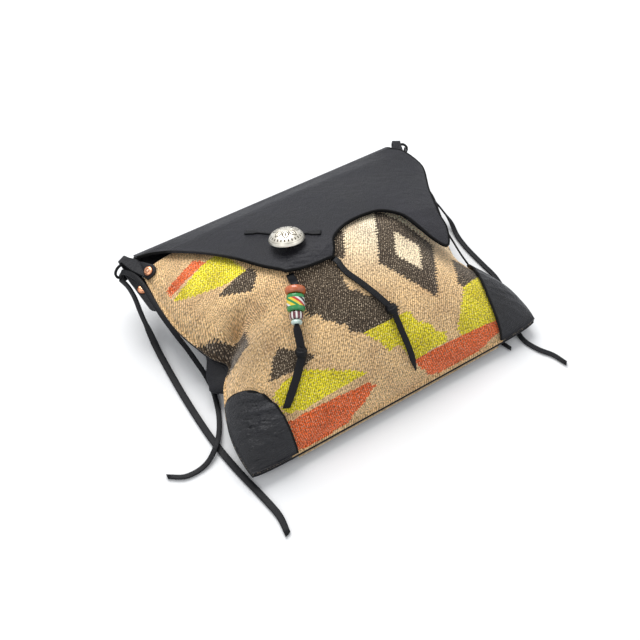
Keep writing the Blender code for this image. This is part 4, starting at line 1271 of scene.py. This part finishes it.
RIGHT_LONG_LACE = [
    (0.1494, 0.2098, 0.0307), (0.1465, 0.203, 0.0285), (0.1435, 0.19, 0.0265),
    (0.142, 0.172, 0.0274), (0.141, 0.157, 0.025), (0.145, 0.147, 0.017), (0.149, 0.136, 0.007),
    (0.147, 0.122, 0.0025), (0.146, 0.105, 0.002), (0.147, 0.083, 0.002), (0.148, 0.066, 0.002),
    (0.146, 0.052, 0.002), (0.142, 0.036, 0.002), (0.135, 0.021, 0.002), (0.129, 0.009, 0.002),
    (0.127, -0.004, 0.002), (0.132, -0.018, 0.002), (0.139, -0.029, 0.002), (0.143, -0.041, 0.002)]
RIGHT_SHORT_LACE = [
    (0.147, 0.211, 0.039), (0.1425, 0.206, 0.0393), (0.139, 0.2, 0.0388),
    (0.1378, 0.193, 0.0386), (0.1375, 0.184, 0.0382), (0.1375, 0.171, 0.0372),
    (0.136, 0.15, 0.036), (0.13, 0.13, 0.034), (0.1258, 0.114, 0.031),
    (0.1246, 0.102, 0.029), (0.1248, 0.09, 0.024), (0.129, 0.078, 0.013), (0.132, 0.066, 0.004),
    (0.132, 0.05, 0.002), (0.129, 0.035, 0.002), (0.121, 0.022, 0.002), (0.113, 0.013, 0.002),
    (0.1095, 0.005, 0.002), (0.112, -0.004, 0.002)]
SIDE_LACES = [("left_long", -1, LEFT_LONG_LACE, 0.006, 1.0),
              ("left_short", -1, LEFT_SHORT_LACE, 0.0044, 0.35),
              ("right_long", 1, RIGHT_LONG_LACE, 0.0044, 1.0),
              ("right_short", 1, RIGHT_SHORT_LACE, 0.0038, 1.0)]


def side_laces():
    for word, side, points, width, sideways in SIDE_LACES:
        route = [in_frame(p) for p in smooth_route(points, 0.003)]
        ups = []
        for p in route:
            on_floor = share(0.012 - p.z, 0, 0.008)
            hangs = (1 - on_floor) * sideways
            ups.append(Vector((side * hangs, -0.3 * (1 - on_floor), 1.35 - hangs)))
        lace("side_strip_" + word, route, ups, width, "bag", ["side_lace_" + word])


side_laces()

# %% [markdown]
# ## Ridge corners
# At each end of the ridge a leather lug is folded round a ring of lace and held by two copper
# rivets. A ring is a closed lace that hangs in the eye of its lug, with a knot at its low end.

# %% The rings and their knots
LUG_EYE = (0.1405, 0.2165)
RING_LOOP = [
    (-0.0045, 0, 0), (0, 0, 0), (0.0045, 0, 0), (0.0085, -0.0005, -0.002),
    (0.011, -0.0015, -0.006), (0.01, -0.0025, -0.0105), (0.0055, -0.003, -0.0125),
    (0, -0.0025, -0.011), (-0.005, -0.0012, -0.007), (-0.0068, -0.0004, -0.0025)]
RING_KNOT_AT, RING_CORD = 6, 0.0022


def ring(word, side):
    eye = Vector((side * LUG_EYE[0], LUG_EYE[1], seam_height(side * LUG_EYE[0], LUG_EYE[1])))
    loop = [in_frame(eye + Vector((side * out, along, up))) for out, along, up in RING_LOOP]
    route = smooth_route(loop, 0.001, closed=True)
    bm = swept(route, [Vector((0, 1, 0))] * len(route), oval(RING_CORD, RING_CORD), closed=True)
    add_piece("ring_" + word, bm, lace_leather, "lace_leather", "bag", ["lace_ring_" + word])
    axis = loop[RING_KNOT_AT + 1] - loop[RING_KNOT_AT - 1]
    knot("ring_tie_" + word, loop[RING_KNOT_AT], axis, *RING_KNOT, "bag", ["ring_knot_" + word])


ring("left", -1)
ring("right", 1)

# %% [markdown]
# Each lug is one strip. Its front lobe lies on the cloth, it turns round the ring at its eye, and
# its back lobe lies under the seam. The strip is a grid again, bent by the three runs.

# %% The lugs
LUG_WIDTH, LUG_EYE_WIDTH, LUG_EYE_LENGTH, LUG_GAP = 0.0115, 0.007, 0.006, 0.0008
LUG_FRONT_LENGTH, LUG_BACK_LENGTH, LUG_FRONT_LEAN, LUG_BACK_LEAN = 0.0305, 0.05, 0.65, 0.1
FRONT_RIVET_FROM_EYE, BACK_RIVET_FROM_EYE, BACK_RIVET_OUTWARD = 0.0245, 0.027, 0.0012


def lug_width(from_eye, from_end):
    narrow = (LUG_WIDTH - LUG_EYE_WIDTH) * bell(from_eye, LUG_EYE_LENGTH)
    rounding = 1 - share(from_end, 0, LUG_WIDTH / 2)
    return (LUG_WIDTH - narrow) * max(0.2, (1 - rounding ** 2) ** 0.5)


def across_of(run):
    return Vector((-run.y, run.x))


def lug(word, side):
    eye = Vector((side * LUG_EYE[0], LUG_EYE[1]))
    front = Vector((-side * LUG_FRONT_LEAN, -1)).normalized()
    back = Vector((-side * LUG_BACK_LEAN, -1)).normalized()
    lift = LUG_GAP + LEATHER_THICKNESS / 2
    fold = SEAM_LIFT + lift

    def place(u, v):
        part, out = v * 3, 2 * u - 1
        if part < 1:
            from_end = part ** 1.4 * LUG_FRONT_LENGTH
            from_eye = LUG_FRONT_LENGTH - from_end
            spot = eye + front * from_eye
            spot = spot + across_of(front) * out * lug_width(from_eye, from_end) / 2
            return in_frame(on_surface(front_height, *spot, lift))
        if part < 2:
            t = part - 1
            run = front.lerp(back, t).normalized()
            spot = eye - run * fold * sin(pi * t)
            spot = spot + across_of(run) * out * lug_width(0, LUG_FRONT_LENGTH) / 2
            return in_frame((*spot, seam_height(*spot) + fold * cos(pi * t)))
        from_eye = (1 - (3 - part) ** 1.4) * LUG_BACK_LENGTH
        spot = eye + back * from_eye
        width = lug_width(from_eye, LUG_BACK_LENGTH - from_eye)
        spot = spot + across_of(back) * out * width / 2
        return in_frame(on_surface(back_height, *spot, -lift))
    bm = bent_grid(12, 120, place)
    add_piece("lug_strap_" + word, bm, hide_leather, "leather", "bag", ["lug_" + word],
              wall=LEATHER_THICKNESS, offset=0.0, bevel=0.0004)
    spots = {"front": (eye + front * FRONT_RIVET_FROM_EYE, front_height),
             "back": (eye + back * BACK_RIVET_FROM_EYE
                      + across_of(back) * side * BACK_RIVET_OUTWARD, back_height)}
    for end, (spot, height) in spots.items():
        node = nodes["rivet_%s_%s" % (end, word)]
        node.data.materials.clear()
        node.data.materials.append(rivet_finish("copper_%s_%s" % (end, word),
                                                in_frame(on_surface(height, *spot, 0.0)),
                                                normal_of(height, *spot)))


lug("left", -1)
lug("right", 1)
